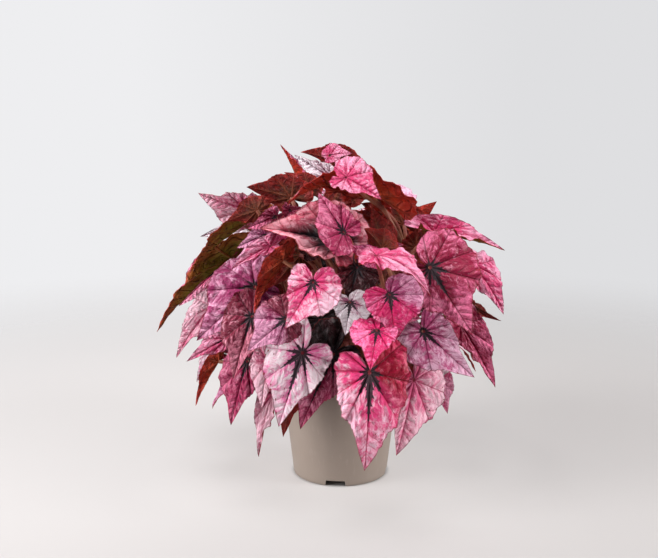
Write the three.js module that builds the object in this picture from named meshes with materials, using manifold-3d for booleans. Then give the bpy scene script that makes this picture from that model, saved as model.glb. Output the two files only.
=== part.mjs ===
// A rex begonia in its nursery pot: a dome of painted, pointed leaves on fleshy stalks.
// Millimetres, +Z up, the origin under the middle of the pot's foot, the front of the plant towards -Y.
import * as THREE from "three";
import { mergeVertices } from "three/addons/utils/BufferGeometryUtils.js";
import Module from "manifold-3d";

const wasm = await Module();
wasm.setup();

const DEG = Math.PI / 180;

// ---- Driving dimensions -------------------------------------------------------------------
const POT = {
  topRadius: 70, // a 14 cm nursery pot
  footRadius: 53.4,
  height: 122,
  wall: 2,
  rimHeight: 13,
  rimOut: 2.2,
  floorRise: 8, // the floor stands on a foot ring and a middle foot
  middleFoot: 11,
  sides: 40,
};
const NOTCH = { count: 4, firstAngle: -96.5, topWidth: 20.5, footWidth: 23.5, height: 6.5 };
const DRAIN = { count: 4, radius: 5, ring: 30, sides: 10 };
const SOIL = { top: 109, gap: 0.3, bump: 1.6, rings: [0.36, 0.68, 0.94], sides: 24 };
const CROWN = { radius: 6.2, top: 7, depth: 14, sides: 6, gap: 0.35 };
const STALK = { radius: 1.9, sides: 4, steps: 4 };
const BLADE = {
  thick: 0.9,
  body: 0.53, // half as wide as the midrib is long, away from the pointed tip
  spike: 15, // degrees over which the tip widens
  belly: 0.065, // how far the sides bulge between the tip and the widest place, in blade lengths
  shoulder: 112, // degrees from the midrib at which the margin turns in towards the notch
  notch: 3.6,
  smallSide: 0.82,
  skew: 26, // degrees by which the notch lies off the midrib's line
  lobeDroop: 0.35,
};
const CLEAR = 0.7; // how far leaves and stalks stay apart
const ROOT_SHARE = 0.27; // a stalk prefers the root at this share of the way to its blade
const ROOTS_TRIED = 9;
const OWN_OVERLAP = 30; // cubic millimetres that a widened stalk shares with its own blade
const SLIDE = { step: 3, most: 20 };

// The front leaves are laid out as seen from the front: EYE is where that view is taken from.
const EYE = new THREE.Vector3(-13, -1025, 402);

// Rhizome tips, each with its own leaves: one in the middle and two rings round it.
const RINGS = [
  { count: 1, radius: 0, turn: 0 },
  { count: 6, radius: 22, turn: 10 },
  { count: 11, radius: 44, turn: -8 },
];

// ---- The leaves ---------------------------------------------------------------------------
// A front leaf is given by the end of its stalk and its tip, each as: across and up in the upright
// plane through the pot's axis, as the eye sees it there, and how far it stands out in front of it.
// turn rolls the blade about its midrib: at 0 its upper face looks at the eye and at 180 its underside.
// wide widens the blade, big is the side of its larger half, droop arches the midrib, fold lifts
// both halves from the midrib and roll curls them on towards their margins, all in degrees.
//   stalk end          tip               turn  wide  big droop fold roll
const FRONT = [
  // low leaves, hanging over the pot
  [33, 115, 136, 28, -4, 140, -8, 0.76, 1, 35, -8, -20],
  [84, 106, 104, 65, 16, 116, -14, 0.8, 1, 20, -5, -15],
  [-43, 138, 122, -71, 50, 136, 5, 0.86, -1, 25, 0, -18],
  [-8, 136, 96, -46, 48, 116, 10, 0.78, -1, 25, 0, -12],
  [-76, 92, 92, -95, 14, 104, 30, 0.4, -1, 20, 18, 10],
  [-82, 128, 100, -90, 72, 108, 20, 0.7, -1, 20, 0, -10],
  [-50, 106, 72, -66, 38, 84, 170, 0.65, 1, 15, 0, 10],
  [-106, 128, 90, -126, 52, 106, 10, 0.68, -1, 25, -6, -12],
  [-138, 128, 34, -166, 76, 48, 120, 0.45, 1, 15, 40, 20],
  [-140, 142, 14, -164, 104, 20, 40, 0.55, -1, 20, 20, 0],
  [110, 110, 60, 123, 66, 70, 0, 0.7, 1, 15, 0, -10],
  [116, 142, 80, 108, 94, 92, 10, 0.65, 1, 20, 0, -15],
  [84, 146, 62, 92, 92, 72, 175, 0.8, 1, 15, 0, 10],
  // middle leaves
  [41, 163, 146, 34, 118, 184, 0, 0.95, -1, 35, 8, -15],
  [55, 205, 140, 62, 152, 144, 0, 1.25, 1, 50, 6, -12],
  [-31, 219, 140, -63, 166, 162, 0, 1.02, 1, 30, 8, -15],
  [94, 163, 110, 153, 109, 126, 0, 0.85, -1, 25, 4, -15],
  [-100, 180, 88, -122, 108, 110, 10, 0.76, -1, 25, 10, -12],
  [-62, 177, 130, -106, 140, 146, 0, 1.0, -1, 30, -5, -12],
  [-128, 155, 58, -175, 128, 70, 15, 0.55, -1, 20, 5, -5],
  [-144, 192, 34, -186, 133, 46, 35, 0.55, -1, 25, 10, 0],
  [-150, 195, 14, -162, 156, 24, 165, 0.65, 1, 20, 5, 10],
  [-96, 214, 78, -163, 152, 98, 5, 0.9, -1, 25, -5, -12],
  [-122, 247, 44, -208, 163, 66, 82, 0.42, 1, 20, 48, 10],
  [-140, 232, 20, -182, 192, 34, 0, 0.8, -1, 20, 5, -10],
  [100, 236, 92, 148, 162, 116, 5, 1.05, 1, 25, -5, -15],
  [148, 238, 28, 184, 182, 50, -15, 0.6, 1, 70, 0, -20],
  [140, 200, 34, 181, 175, 42, 150, 0.45, 1, 15, 20, 10],
  [134, 190, 50, 161, 168, 58, 0, 0.7, 1, 30, 0, -10],
  [136, 170, 54, 177, 98, 70, -25, 0.55, 1, 20, 15, 10],
  [-24, 176, 80, -32, 116, 92, 0, 0.9, 1, 20, 0, -10],
  [11, 196, 118, 5, 158, 132, 0, 1.2, 1, 25, 5, -10],
  [18, 236, 96, 8, 188, 106, 0, 1.0, 1, 30, 8, -15],
  [14, 264, 62, 42, 222, 78, 0, 1.0, 1, 30, 8, -15],
  [28, 179, 100, 6, 162, 112, 0, 1.1, 1, 20, 5, -10],
  [46, 176, 96, 92, 178, 108, -10, 0.8, 1, 35, 0, -15],
  [-36, 253, 84, -10, 255, 92, 0, 0.8, 1, 20, 5, -10],
  [-45, 250, 62, -75, 216, 72, 175, 1.1, 1, 15, 5, 10],
  [-64, 244, 92, -97, 181, 104, 135, 0.45, 1, 40, 10, 15],
  [90, 218, 84, 102, 172, 96, 0, 1.1, 1, 20, 0, -10],
  [-70, 196, 64, -84, 150, 76, 170, 1.0, 1, 20, 0, 10],
  // upper leaves
  [-6, 265, 98, -90, 281, 116, 25, 0.92, -1, 20, 20, 5],
  [3, 276, 120, -25, 320, 102, 0, 0.9, 1, 20, 16, 5],
  [40, 249, 118, 99, 205, 140, -48, 0.56, 1, 75, 0, -10],
  [36, 249, 104, 4, 262, 108, 10, 0.7, 1, 30, 5, -10],
  [46, 258, 96, 26, 280, 100, 160, 1.1, 1, 60, 10, 25],
  [50, 262, 92, 70, 262, 102, 10, 0.9, 1, 50, 15, 20],
  [-56, 300, 92, -66, 284, 106, 0, 1.1, 1, 25, 22, 5],
  [-72, 293, 88, -104, 280, 98, 0, 0.8, 1, 25, 0, -10],
  [-84, 272, 74, -116, 258, 84, 20, 0.9, 1, 25, 5, -10],
  [-78, 260, 86, -122, 234, 96, 30, 0.5, -1, 30, 15, 0],
  [-106, 284, 50, -169, 230, 68, 82, 0.42, 1, 20, 48, 10],
  [-92, 300, 56, -126, 288, 62, 170, 0.85, 1, 25, 0, 10],
  [-104, 302, 24, -157, 319, 32, -25, 0.85, 1, 25, 10, -5],
  [-100, 286, 4, -156, 271, 12, 10, 0.55, 1, 20, 10, 0],
  [-54, 314, 48, -104, 326, 54, 165, 0.85, 1, 30, 0, 10],
  [104, 276, 68, 182, 256, 86, -52, 0.46, 1, 15, 40, 5],
  [116, 266, 46, 154, 236, 58, 170, 0.75, 1, 25, 0, 10],
  [70, 284, 40, 22, 308, 46, 165, 0.85, 1, 25, 5, 10],
  [56, 280, 22, 106, 310, 28, 165, 0.8, 1, 25, 0, 10],
  [112, 262, 60, 80, 290, 62, 170, 0.9, 1, 25, 0, 10],
  [-24, 290, 40, 14, 318, 34, 170, 1.0, 1, 25, 0, 10],
  [-14, 298, 42, 6, 338, 36, 170, 0.9, 1, 25, 0, 10],
  [-30, 276, 56, -66, 304, 50, 170, 0.9, 1, 25, 0, 10],
  // the top
  [6, 336, 80, 44, 312, 100, -20, 0.95, 1, 30, 18, 0],
  [38, 316, 50, -57, 306, 76, 118, 0.62, 1, 85, 5, 0],
  [-10, 336, 36, -51, 361, 26, -5, 0.6, 1, 15, 12, 0],
  [4, 350, 18, -44, 364, 8, 150, 0.7, 1, 40, 10, 10],
  [-12, 360, 16, 12, 362, 22, -20, 0.9, 1, 60, 10, -10],
  [-48, 334, 0, -66, 372, 6, 72, 0.7, 1, 15, 40, 5],
  [-36, 322, 40, -62, 342, 34, 150, 0.9, 1, 20, 20, 10],
  [8, 318, 14, 16, 348, 6, 160, 1.1, 1, 30, 10, 10],
  // in the shade between the upper and the middle leaves
  [-14, 260, 8, -30, 212, 22, 0, 1.1, 1, 25, 0, -10],
  [30, 254, 10, 12, 206, 26, 0, 1.1, 1, 25, 0, -10],
  [84, 258, 66, 104, 292, 58, 170, 1.0, 1, 20, 0, 10],
  [44, 268, 78, 34, 304, 62, 172, 0.9, 1, 20, 0, 10],
];

// The far side of the dome, by rule: tiers of leaves like shingles, the highest nearly upright.
// Each tier has its stalk ends at one radius and height and its tips at another.
const TIERS = [
  { count: 8, at: [98, 140], tip: [150, 66] },
  { count: 8, at: [112, 182], tip: [176, 112] },
  { count: 8, at: [110, 220], tip: [178, 162] },
  { count: 7, at: [96, 256], tip: [166, 214] },
  { count: 5, at: [70, 290], tip: [134, 266] },
  { count: 4, at: [34, 312], tip: [92, 316] },
];
const FAR = {
  from: -16,
  to: 196,
  flatter: 0.15, // the dome is this much narrower across than it is deep
  radiusJitter: 7,
  heightJitter: 10,
  angleJitter: 4,
  aim: 16,
  seed: 7,
};

// ---- Helpers ------------------------------------------------------------------------------
// A repeatable stream of numbers from 0 to 1.
function dice(seed) {
  let state = seed;
  return () => {
    state = (state * 16807) % 2147483647;
    return state / 2147483647;
  };
}

function solidOf(geometry) {
  const bare = geometry.index ? geometry.toNonIndexed() : geometry.clone();
  bare.deleteAttribute("normal");
  bare.deleteAttribute("uv");
  const merged = mergeVertices(bare, 1e-4);
  return new wasm.Manifold(
    new wasm.Mesh({
      numProp: 3,
      vertProperties: new Float32Array(merged.attributes.position.array),
      triVerts: new Uint32Array(merged.index.array),
    }),
  );
}

function geometryOf(solid) {
  const { vertProperties, triVerts, numProp } = solid.getMesh();
  const position = new Float32Array((vertProperties.length / numProp) * 3);
  for (let i = 0; i * numProp < vertProperties.length; i++)
    position.set(vertProperties.subarray(i * numProp, i * numProp + 3), i * 3);
  const geometry = new THREE.BufferGeometry();
  geometry.setAttribute("position", new THREE.BufferAttribute(position, 3));
  geometry.setIndex(new THREE.BufferAttribute(new Uint32Array(triVerts), 1));
  geometry.computeVertexNormals();
  return geometry;
}

function lathe(profile, sides) {
  const geometry = new THREE.LatheGeometry(
    profile.map(([r, z]) => new THREE.Vector2(r, z)),
    sides,
  );
  return geometry.rotateX(Math.PI / 2);
}

// ---- Pot ----------------------------------------------------------------------------------
function potRadius(z) {
  return POT.footRadius + ((POT.topRadius - POT.rimOut - POT.footRadius) * z) / POT.height;
}

function pot() {
  const { wall, height, rimHeight, rimOut, floorRise, middleFoot, sides } = POT;
  const rimFoot = height - rimHeight;
  const outer = [
    [potRadius(0) - 1.2, 0],
    [potRadius(1.2), 1.2],
    [potRadius(rimFoot), rimFoot],
    [potRadius(rimFoot) + rimOut, rimFoot + 0.8],
    [potRadius(height) + rimOut, height - 1],
    [potRadius(height) + rimOut - 1, height],
  ];
  const inner = [
    [potRadius(height) - wall, height],
    [potRadius(floorRise + wall) - wall, floorRise + wall],
    [0, floorRise + wall],
  ];
  const under = [
    [0, 0],
    [middleFoot, 0],
    [middleFoot, floorRise],
    [potRadius(floorRise) - wall, floorRise],
    [potRadius(0) - wall - 1.2, 0],
  ];
  // The section runs up the outside, down the inside and back under the floor.
  const profile = [...under, ...outer, ...inner];
  let solid = solidOf(lathe(profile, sides));
  const cutter = new THREE.Shape([
    new THREE.Vector2(-NOTCH.footWidth / 2, -1),
    new THREE.Vector2(NOTCH.footWidth / 2, -1),
    new THREE.Vector2(NOTCH.topWidth / 2, NOTCH.height),
    new THREE.Vector2(-NOTCH.topWidth / 2, NOTCH.height),
  ]);
  for (let i = 0; i < NOTCH.count; i++) {
    const angle = (NOTCH.firstAngle + (360 * i) / NOTCH.count) * DEG;
    const notch = new THREE.ExtrudeGeometry(cutter, { depth: 2 * wall + 6, bevelEnabled: false });
    notch.rotateX(Math.PI / 2).rotateZ(Math.PI / 2);
    notch.translate(POT.footRadius - wall - 3, 0, 0).rotateZ(angle);
    solid = solid.subtract(solidOf(notch));
  }
  for (let i = 0; i < DRAIN.count; i++) {
    const angle = (360 * (i + 0.5)) / DRAIN.count + NOTCH.firstAngle;
    const hole = new THREE.CylinderGeometry(DRAIN.radius, DRAIN.radius, 3 * wall, DRAIN.sides);
    hole.rotateX(Math.PI / 2).translate(DRAIN.ring, 0, floorRise + wall / 2).rotateZ(angle * DEG);
    solid = solid.subtract(solidOf(hole));
  }
  return solid;
}

// ---- Soil and rhizome tips ----------------------------------------------------------------
function crowns() {
  const found = [];
  for (const { count, radius, turn } of RINGS)
    for (let i = 0; i < count; i++) {
      const angle = (turn + (360 * i) / count) * DEG;
      found.push(new THREE.Vector3(radius * Math.cos(angle), radius * Math.sin(angle), SOIL.top));
    }
  return found;
}

function crownSolid(spot) {
  const { radius, top, depth, sides } = CROWN;
  const profile = [
    [0, -depth],
    [radius * 0.8, -depth],
    [radius, -depth * 0.5],
    [radius, 0],
    [radius * 0.75, top * 0.75],
    [0, top],
  ];
  return solidOf(lathe(profile, sides).translate(spot.x, spot.y, spot.z));
}

function soil(spots) {
  const low = POT.floorRise + POT.wall + SOIL.gap;
  const edge = (z) => potRadius(z) - POT.wall - SOIL.gap - 0.2;
  const profile = [
    [0, low],
    [edge(low), low],
    [edge(SOIL.top), SOIL.top - 2],
    ...SOIL.rings.map((share) => [edge(SOIL.top) * share, SOIL.top]).reverse(),
    [0, SOIL.top],
  ];
  const geometry = lathe(profile, SOIL.sides);
  const place = geometry.attributes.position;
  for (let i = 0; i < place.count; i++) {
    const [x, y, z] = [place.getX(i), place.getY(i), place.getZ(i)];
    const bump = Math.sin(x * 0.31 + 1.3) * Math.cos(y * 0.27) + 0.6 * Math.sin(x * 0.13 - y * 0.41);
    if (z > SOIL.top - 1) place.setZ(i, z + SOIL.bump * bump * 0.6);
  }
  let solid = solidOf(geometry);
  for (const spot of spots) {
    const { radius, depth, sides, gap } = CROWN;
    const hole = new THREE.CylinderGeometry(radius + gap, radius + gap, depth + 20, sides);
    hole.rotateX(Math.PI / 2);
    hole.translate(spot.x, spot.y, spot.z - depth - gap + (depth + 20) / 2);
    solid = solid.subtract(solidOf(hole));
  }
  return solid;
}

// ---- One leaf -----------------------------------------------------------------------------
// A point seen at across and up in the plane through the axis, brought out in front of it.
function seen(across, up, out) {
  const share = (-EYE.y - out) / -EYE.y;
  return new THREE.Vector3(across, 0, up).sub(EYE).multiplyScalar(share).add(EYE);
}

// The frame of a blade between its stalk end and its tip.
function leafFrom(at, tip, face, shape) {
  const [turn, wide, big, droop, fold, roll] = shape;
  const chord = tip.clone().sub(at);
  const reach = chord.length();
  chord.normalize();
  const toward = face.clone().addScaledVector(chord, -face.dot(chord)).normalize();
  const up = toward.applyAxisAngle(chord, turn * DEG);
  const half = (droop * DEG) / 2;
  const along = chord.clone().multiplyScalar(Math.cos(half)).addScaledVector(up, Math.sin(half));
  const lift = up.clone().multiplyScalar(Math.cos(half)).addScaledVector(chord, -Math.sin(half));
  return {
    at,
    along,
    lift,
    side: new THREE.Vector3().crossVectors(up, chord),
    length: (reach * half) / Math.sin(half),
    wide,
    big,
    droop: droop * DEG,
    fold: fold * DEG,
    roll: roll * DEG,
  };
}

// How far the margin is from the stalk's end, at an angle from the midrib.
// The angle runs to 180 at the notch between the two lobes.
function margin(leaf, angle) {
  const { body, spike, belly, shoulder, notch, smallSide } = BLADE;
  const away = Math.abs(angle);
  const bulge = belly * Math.exp(-(((away - 48) / 22) ** 2));
  const pointed = body + (1 - body) * Math.exp(-away / spike) + bulge;
  const closing = Math.max(0, (away - shoulder) / (180 - shoulder)) ** 2.4;
  const small = Math.sign(angle) === leaf.big ? 1 : 1 - (1 - smallSide) * Math.min(1, away / 50);
  return pointed * small * leaf.length * (1 - closing) + notch * closing;
}

function trueAngle(leaf, angle) {
  const skew = Math.sign(angle) === leaf.big ? BLADE.skew : -BLADE.skew;
  return angle * (1 + skew / 180) * DEG;
}

// Bends a point of the flat blade into place. height is its distance above the middle of the blade.
function bent(leaf, flatAlong, flatAcross, height) {
  const across = Math.abs(flatAcross) * leaf.wide;
  const curl = leaf.roll / (BLADE.body * leaf.length * leaf.wide);
  const tilt = leaf.fold + curl * across;
  let y = across * Math.cos(leaf.fold);
  let z = across * Math.sin(leaf.fold);
  if (Math.abs(curl) > 1e-9) {
    y = (Math.sin(tilt) - Math.sin(leaf.fold)) / curl;
    z = (Math.cos(leaf.fold) - Math.cos(tilt)) / curl;
  }
  y -= height * Math.sin(tilt);
  z += height * Math.cos(tilt);
  const bow = (leaf.droop / leaf.length) * (flatAlong < 0 ? BLADE.lobeDroop : 1);
  const turned = bow * flatAlong;
  const x = Math.sin(turned) / bow + z * Math.sin(turned);
  const up = (Math.cos(turned) - 1) / bow + z * Math.cos(turned);
  return leaf.at
    .clone()
    .addScaledVector(leaf.along, x)
    .addScaledVector(leaf.side, Math.sign(flatAcross) * y)
    .addScaledVector(leaf.lift, up);
}

// Directions in which the margin has a corner, on one half; an inner ring has every second one.
const CORNERS = { large: [8, 20, 38, 62, 88, 114, 140, 162], small: [12, 32, 60, 92, 124, 154] };
const SMALL = 80; // blades shorter than this have fewer corners

function wave(leaf, angle, share) {
  const flatTip = 1 - Math.exp(-((angle / 22) ** 2));
  return 0.035 * leaf.length * share ** 2 * flatTip * Math.sin(angle * 5 * DEG + leaf.phase);
}

// A closed blade: the same net of triangles on both faces and a strip round the margin.
// Where a stalk is given, its uppermost ring is let into the underside in place of the middle.
function leafGeometry(leaf, thick, curve) {
  const half = leaf.length < SMALL ? CORNERS.small : CORNERS.large;
  const spokes = [0, ...half, 180, ...half.map((angle) => -angle).reverse()];
  const count = spokes.length;
  const inner = count / 2;
  const flat = [[0, 0, 0]];
  const addRing = (angles, share) => {
    for (const angle of angles) {
      const tooth = share < 1 || angle === 0 ? 1 : 1 + 0.03 * (-1) ** spokes.indexOf(angle);
      const r = margin(leaf, angle) * share * tooth;
      const turned = trueAngle(leaf, angle);
      flat.push([r * Math.cos(turned), r * Math.sin(turned), wave(leaf, angle, share)]);
    }
  };
  addRing(spokes.filter((_, i) => i % 2 === 0), 0.58);
  addRing(spokes, 1);
  const mid = (i) => 1 + (i % inner);
  const edge = (i) => 1 + inner + (i % count);
  const under = flat.length;
  const place = (height) => flat.map(([u, v, w]) => bent(leaf, u, v, w + height));
  const points = [...place(thick / 2), ...place(-thick / 2)];
  const index = [];
  const both = (a, b, c) => index.push(a, b, c, under + a, under + c, under + b);
  for (let i = 0; i < inner; i++) {
    both(mid(i), edge(2 * i), edge(2 * i + 1));
    both(mid(i), edge(2 * i + 1), mid(i + 1));
    both(mid(i + 1), edge(2 * i + 1), edge(2 * i + 2));
    index.push(0, mid(i), mid(i + 1));
    if (!curve) index.push(under, under + mid(i + 1), under + mid(i));
  }
  for (let i = 0; i < count; i++) {
    const [a, b] = [edge(i), edge(i + 1)];
    index.push(a, under + a, b, b, under + a, under + b);
  }
  if (curve) joinStalk(points, index, leaf, thick, curve, under, inner);
  const geometry = new THREE.BufferGeometry().setFromPoints(points);
  geometry.setIndex(index);
  return geometry;
}

// Adds the stalk's rings below a blade and ties the uppermost to the inner ring of its underside.
function joinStalk(points, index, leaf, thick, curve, under, inner) {
  const rings = stalkRings(leaf, curve, STALK.radius);
  rings[0] = corners().map((angle) => {
    const [u, v] = [STALK.radius * Math.cos(angle), STALK.radius * Math.sin(angle)];
    return bent(leaf, u, v, -thick / 2);
  });
  const start = points.length;
  const { sides } = STALK;
  points.push(...rings.flat());
  // Walks round both rings at once, always closing the shorter of the two next triangles.
  let [i, j] = [0, 0];
  while (i < inner || j < sides) {
    const [a, b] = [under + 1 + (i % inner), start + (j % sides)];
    const [nextA, nextB] = [under + 1 + ((i + 1) % inner), start + ((j + 1) % sides)];
    const stepA = i < inner && (j >= sides || (i + 0.5) / inner <= (j + 1) / sides);
    if (stepA) index.push(a, b, nextA);
    else index.push(a, b, nextB);
    if (stepA) i++;
    else j++;
  }
  tube(index, start, rings.length);
}

function corners() {
  return [...Array(STALK.sides).keys()].map((i) => (2 * Math.PI * (i + 0.5)) / STALK.sides);
}

// Rings of corners down a stalk, from the blade to the rhizome.
function stalkRings(leaf, curve, radius) {
  const rings = [];
  let first = leaf.along;
  for (let k = 0; k <= STALK.steps; k++) {
    const t = 1 - k / STALK.steps;
    const [middle, tangent] = [curve.getPoint(t), curve.getTangent(t)];
    first = first.clone().addScaledVector(tangent, -first.dot(tangent)).normalize();
    const second = new THREE.Vector3().crossVectors(tangent, first);
    rings.push(
      corners().map((angle) =>
        middle
          .clone()
          .addScaledVector(first, radius * Math.cos(angle))
          .addScaledVector(second, radius * Math.sin(angle)),
      ),
    );
  }
  return rings;
}

// The walls between the rings of a stalk and the cap on its lower end.
function tube(index, start, count) {
  const { sides } = STALK;
  for (let k = 0; k < count - 1; k++)
    for (let i = 0; i < sides; i++) {
      const [a, b] = [start + k * sides + i, start + k * sides + ((i + 1) % sides)];
      index.push(a, a + sides, b, b, a + sides, b + sides);
    }
  const last = start + (count - 1) * sides;
  for (let i = 1; i < sides - 1; i++) index.push(last, last + i + 1, last + i);
}

function stalkGeometry(leaf, curve, radius) {
  const rings = stalkRings(leaf, curve, radius);
  const index = [];
  tube(index, 0, rings.length);
  for (let i = 1; i < STALK.sides - 1; i++) index.push(0, i, i + 1);
  const geometry = new THREE.BufferGeometry().setFromPoints(rings.flat());
  geometry.setIndex(index);
  return geometry;
}

// The stalk rises from its rhizome tip and comes to the blade from below.
function stalkCurve(leaf, root, sway) {
  const start = root.clone().setZ(root.z - 1);
  const end = leaf.at.clone().addScaledVector(leaf.lift, -BLADE.thick / 2);
  const span = end.clone().sub(start);
  const length = span.length();
  const outward = span.clone().normalize();
  const arrive = leaf.along.clone().multiplyScalar(sway.along).addScaledVector(outward, 0.6);
  arrive.addScaledVector(leaf.lift, 0.5).normalize();
  arrive.addScaledVector(leaf.lift, Math.max(0, 0.65 - arrive.dot(leaf.lift))).normalize();
  const across = new THREE.Vector3(-span.y, span.x, 0).normalize();
  const first = start.clone().add(new THREE.Vector3(0, 0, length * sway.rise));
  first.addScaledVector(outward, length * 0.12).addScaledVector(across, sway.side * length);
  const second = end.clone().addScaledVector(arrive, -length * sway.reach);
  second.addScaledVector(across, sway.side * length * 0.5);
  return new THREE.CubicBezierCurve3(start, first, second, end);
}

// ---- Laying out the plant -----------------------------------------------------------------
// Every leaf wanted, from the inside of the dome to the outside, and the way it slides to get clear.
function wantedLeaves() {
  const front = FRONT.map((row, i) => {
    const at = seen(...row.slice(0, 3));
    const face = EYE.clone().sub(at).normalize();
    const leaf = leafFrom(at, seen(...row.slice(3, 6)), face, row.slice(6));
    return { ...leaf, away: face, order: row[2] + row[5], phase: i * 1.7 };
  });
  front.sort((a, b) => a.order - b.order);
  const roll = dice(FAR.seed);
  const spread = (size) => (roll() - 0.5) * 2 * size;
  const far = [];
  for (const [row, tier] of TIERS.entries())
    for (let i = 0; i < tier.count; i++) {
      const share = (i + (row % 2 ? 0.3 : 0.7)) / tier.count;
      const angle = (FAR.from + (FAR.to - FAR.from) * share + spread(FAR.angleJitter)) * DEG;
      const squeeze = 1 - FAR.flatter * Math.cos(angle) ** 2;
      const outward = new THREE.Vector3(Math.cos(angle), Math.sin(angle), 0);
      const aim = angle + spread(FAR.aim) * DEG;
      const tipWay = new THREE.Vector3(Math.cos(aim), Math.sin(aim), 0);
      const at = outward.clone().multiplyScalar(tier.at[0] * squeeze + spread(FAR.radiusJitter));
      at.z = tier.at[1] + spread(FAR.heightJitter);
      const tip = at.clone().addScaledVector(tipWay, (tier.tip[0] - tier.at[0]) * squeeze);
      tip.z = tier.tip[1] + spread(FAR.heightJitter);
      const face = outward.clone().setZ(0.5).normalize();
      const [turn, wide, big] = [spread(16), 0.95 + spread(0.12), roll() < 0.5 ? 1 : -1];
      const [droop, fold, curl] = [30 + spread(14), spread(10), -12 + spread(10)];
      const leaf = leafFrom(at, tip, face, [turn, wide, big, droop, fold, curl]);
      far.push({ ...leaf, away: outward, phase: roll() * 6 });
    }
  return [...front, ...far];
}

// The ways a stalk may take: how far it runs straight into the blade and along how much of the
// midrib's direction, how steeply it starts and how far it swings aside.
const ENDINGS = [[0.32, 0.45], [0.16, 0.45], [0.35, 1.2], [0.45, 0], [0.2, -0.3]];
const SWAYS = [];
for (const [reach, along] of ENDINGS)
  for (const rise of [0.3, 0.5, 0.12, 0.7])
    for (const side of [0, 0.12, -0.12, 0.25, -0.25, 0.4, -0.4]) SWAYS.push({ reach, along, rise, side });

function thing(solid, shoot) {
  return { solid, shoot, box: solid.boundingBox() };
}

function boxesMeet(a, b) {
  return [0, 1, 2].every((k) => a.min[k] <= b.max[k] && b.min[k] <= a.max[k]);
}

function meets(solid, things) {
  const box = solid.boundingBox();
  return things.some((other) => {
    if (!boxesMeet(box, other.box)) return false;
    const common = solid.intersect(other.solid);
    const touching = !common.isEmpty();
    common.delete();
    return touching;
  });
}

// Slides a blade out until it is clear of the blades further in.
function placeBlade(wanted, blades) {
  for (let step = 0; step <= SLIDE.most; step++) {
    const at = wanted.at.clone().addScaledVector(wanted.away, step * SLIDE.step);
    const leaf = { ...wanted, at };
    const fat = solidOf(leafGeometry(leaf, BLADE.thick + 2 * CLEAR));
    const blocked = meets(fat, blades);
    fat.delete();
    if (!blocked) return leaf;
  }
  return null;
}

// Finds a stalk a free way between all the blades and the stalks of the other shoots.
function routeStalk(leaf, spots, blades, stalks) {
  const nearRoot = new THREE.Vector3(leaf.at.x * ROOT_SHARE, leaf.at.y * ROOT_SHARE, SOIL.top);
  const order = spots.map((spot, i) => [spot.distanceTo(nearRoot), i]).sort((a, b) => a[0] - b[0]);
  for (const sway of SWAYS)
    for (const [, shoot] of order.slice(0, ROOTS_TRIED)) {
      const curve = stalkCurve(leaf, spots[shoot], sway);
      const fat = solidOf(stalkGeometry(leaf, curve, STALK.radius + CLEAR));
      const others = stalks.filter((stalk) => stalk.shoot !== shoot);
      const crossed = meets(fat, [...others, ...blades.filter((blade) => blade.leaf !== leaf)]);
      const ownBlade = blades.find((blade) => blade.leaf === leaf);
      const pierced = !crossed && fat.intersect(ownBlade.solid).volume() > OWN_OVERLAP;
      fat.delete();
      if (!crossed && !pierced) return { leaf, shoot, curve };
    }
  return null;
}

// Places every blade, from the inside of the dome outwards, then gives each a stalk, the outermost
// first. A leaf that finds no way is left off.
function growPlant(potSolid) {
  const spots = crowns();
  const shoots = spots.map((spot) => crownSolid(spot));
  const potWall = thing(potSolid);
  const blades = [potWall];
  for (const wanted of wantedLeaves()) {
    const leaf = placeBlade(wanted, blades);
    if (leaf) blades.push({ ...thing(solidOf(leafGeometry(leaf, BLADE.thick))), leaf });
  }
  const stalks = shoots.map((solid, shoot) => thing(solid, shoot));
  const used = new Set();
  for (const { leaf } of blades.slice(1).reverse()) {
    const found = routeStalk(leaf, spots, blades, stalks);
    if (!found) continue;
    const { shoot, curve } = found;
    stalks.push(thing(solidOf(stalkGeometry(leaf, curve, STALK.radius)), shoot));
    shoots[shoot] = shoots[shoot].add(solidOf(leafGeometry(leaf, BLADE.thick, curve)));
    used.add(shoot);
  }
  return [...used].sort((a, b) => a - b).map((shoot) => ({ solid: shoots[shoot], spot: spots[shoot] }));
}

// ---- Assembly -----------------------------------------------------------------------------
const plastic = new THREE.MeshStandardMaterial({ color: 0xa39384, roughness: 0.5, metalness: 0 });
const earth = new THREE.MeshStandardMaterial({ color: 0x2e2119, roughness: 1, metalness: 0 });
const foliage = new THREE.MeshStandardMaterial({ color: 0xc75a86, roughness: 0.45, metalness: 0 });

function mesh(name, solid, material) {
  const made = new THREE.Mesh(geometryOf(solid), material);
  made.name = name;
  return made;
}

const plant = new THREE.Group();
const potSolid = pot();
const shoots = growPlant(potSolid);
plant.add(mesh("pot", potSolid, plastic), mesh("soil", soil(shoots.map(({ spot }) => spot)), earth));
shoots.forEach(({ solid }, i) => {
  plant.add(mesh(`shoot_${String(i + 1).padStart(2, "0")}`, solid, foliage));
});

export default plant;
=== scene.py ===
# %% [markdown]
# # A rex begonia in its nursery pot
#
# The plant is a dome of painted, pointed leaves. Each leaf has a fleshy stalk that leaves a knobbly
# rhizome tip in the soil. The solid model comes first and holds every size, so this file only
# dresses it: each leaf lies exactly where its solid lies, with fine veins, teeth and colours.

import math

import bpy
import numpy as np
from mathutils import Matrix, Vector
from mathutils.kdtree import KDTree


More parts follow.
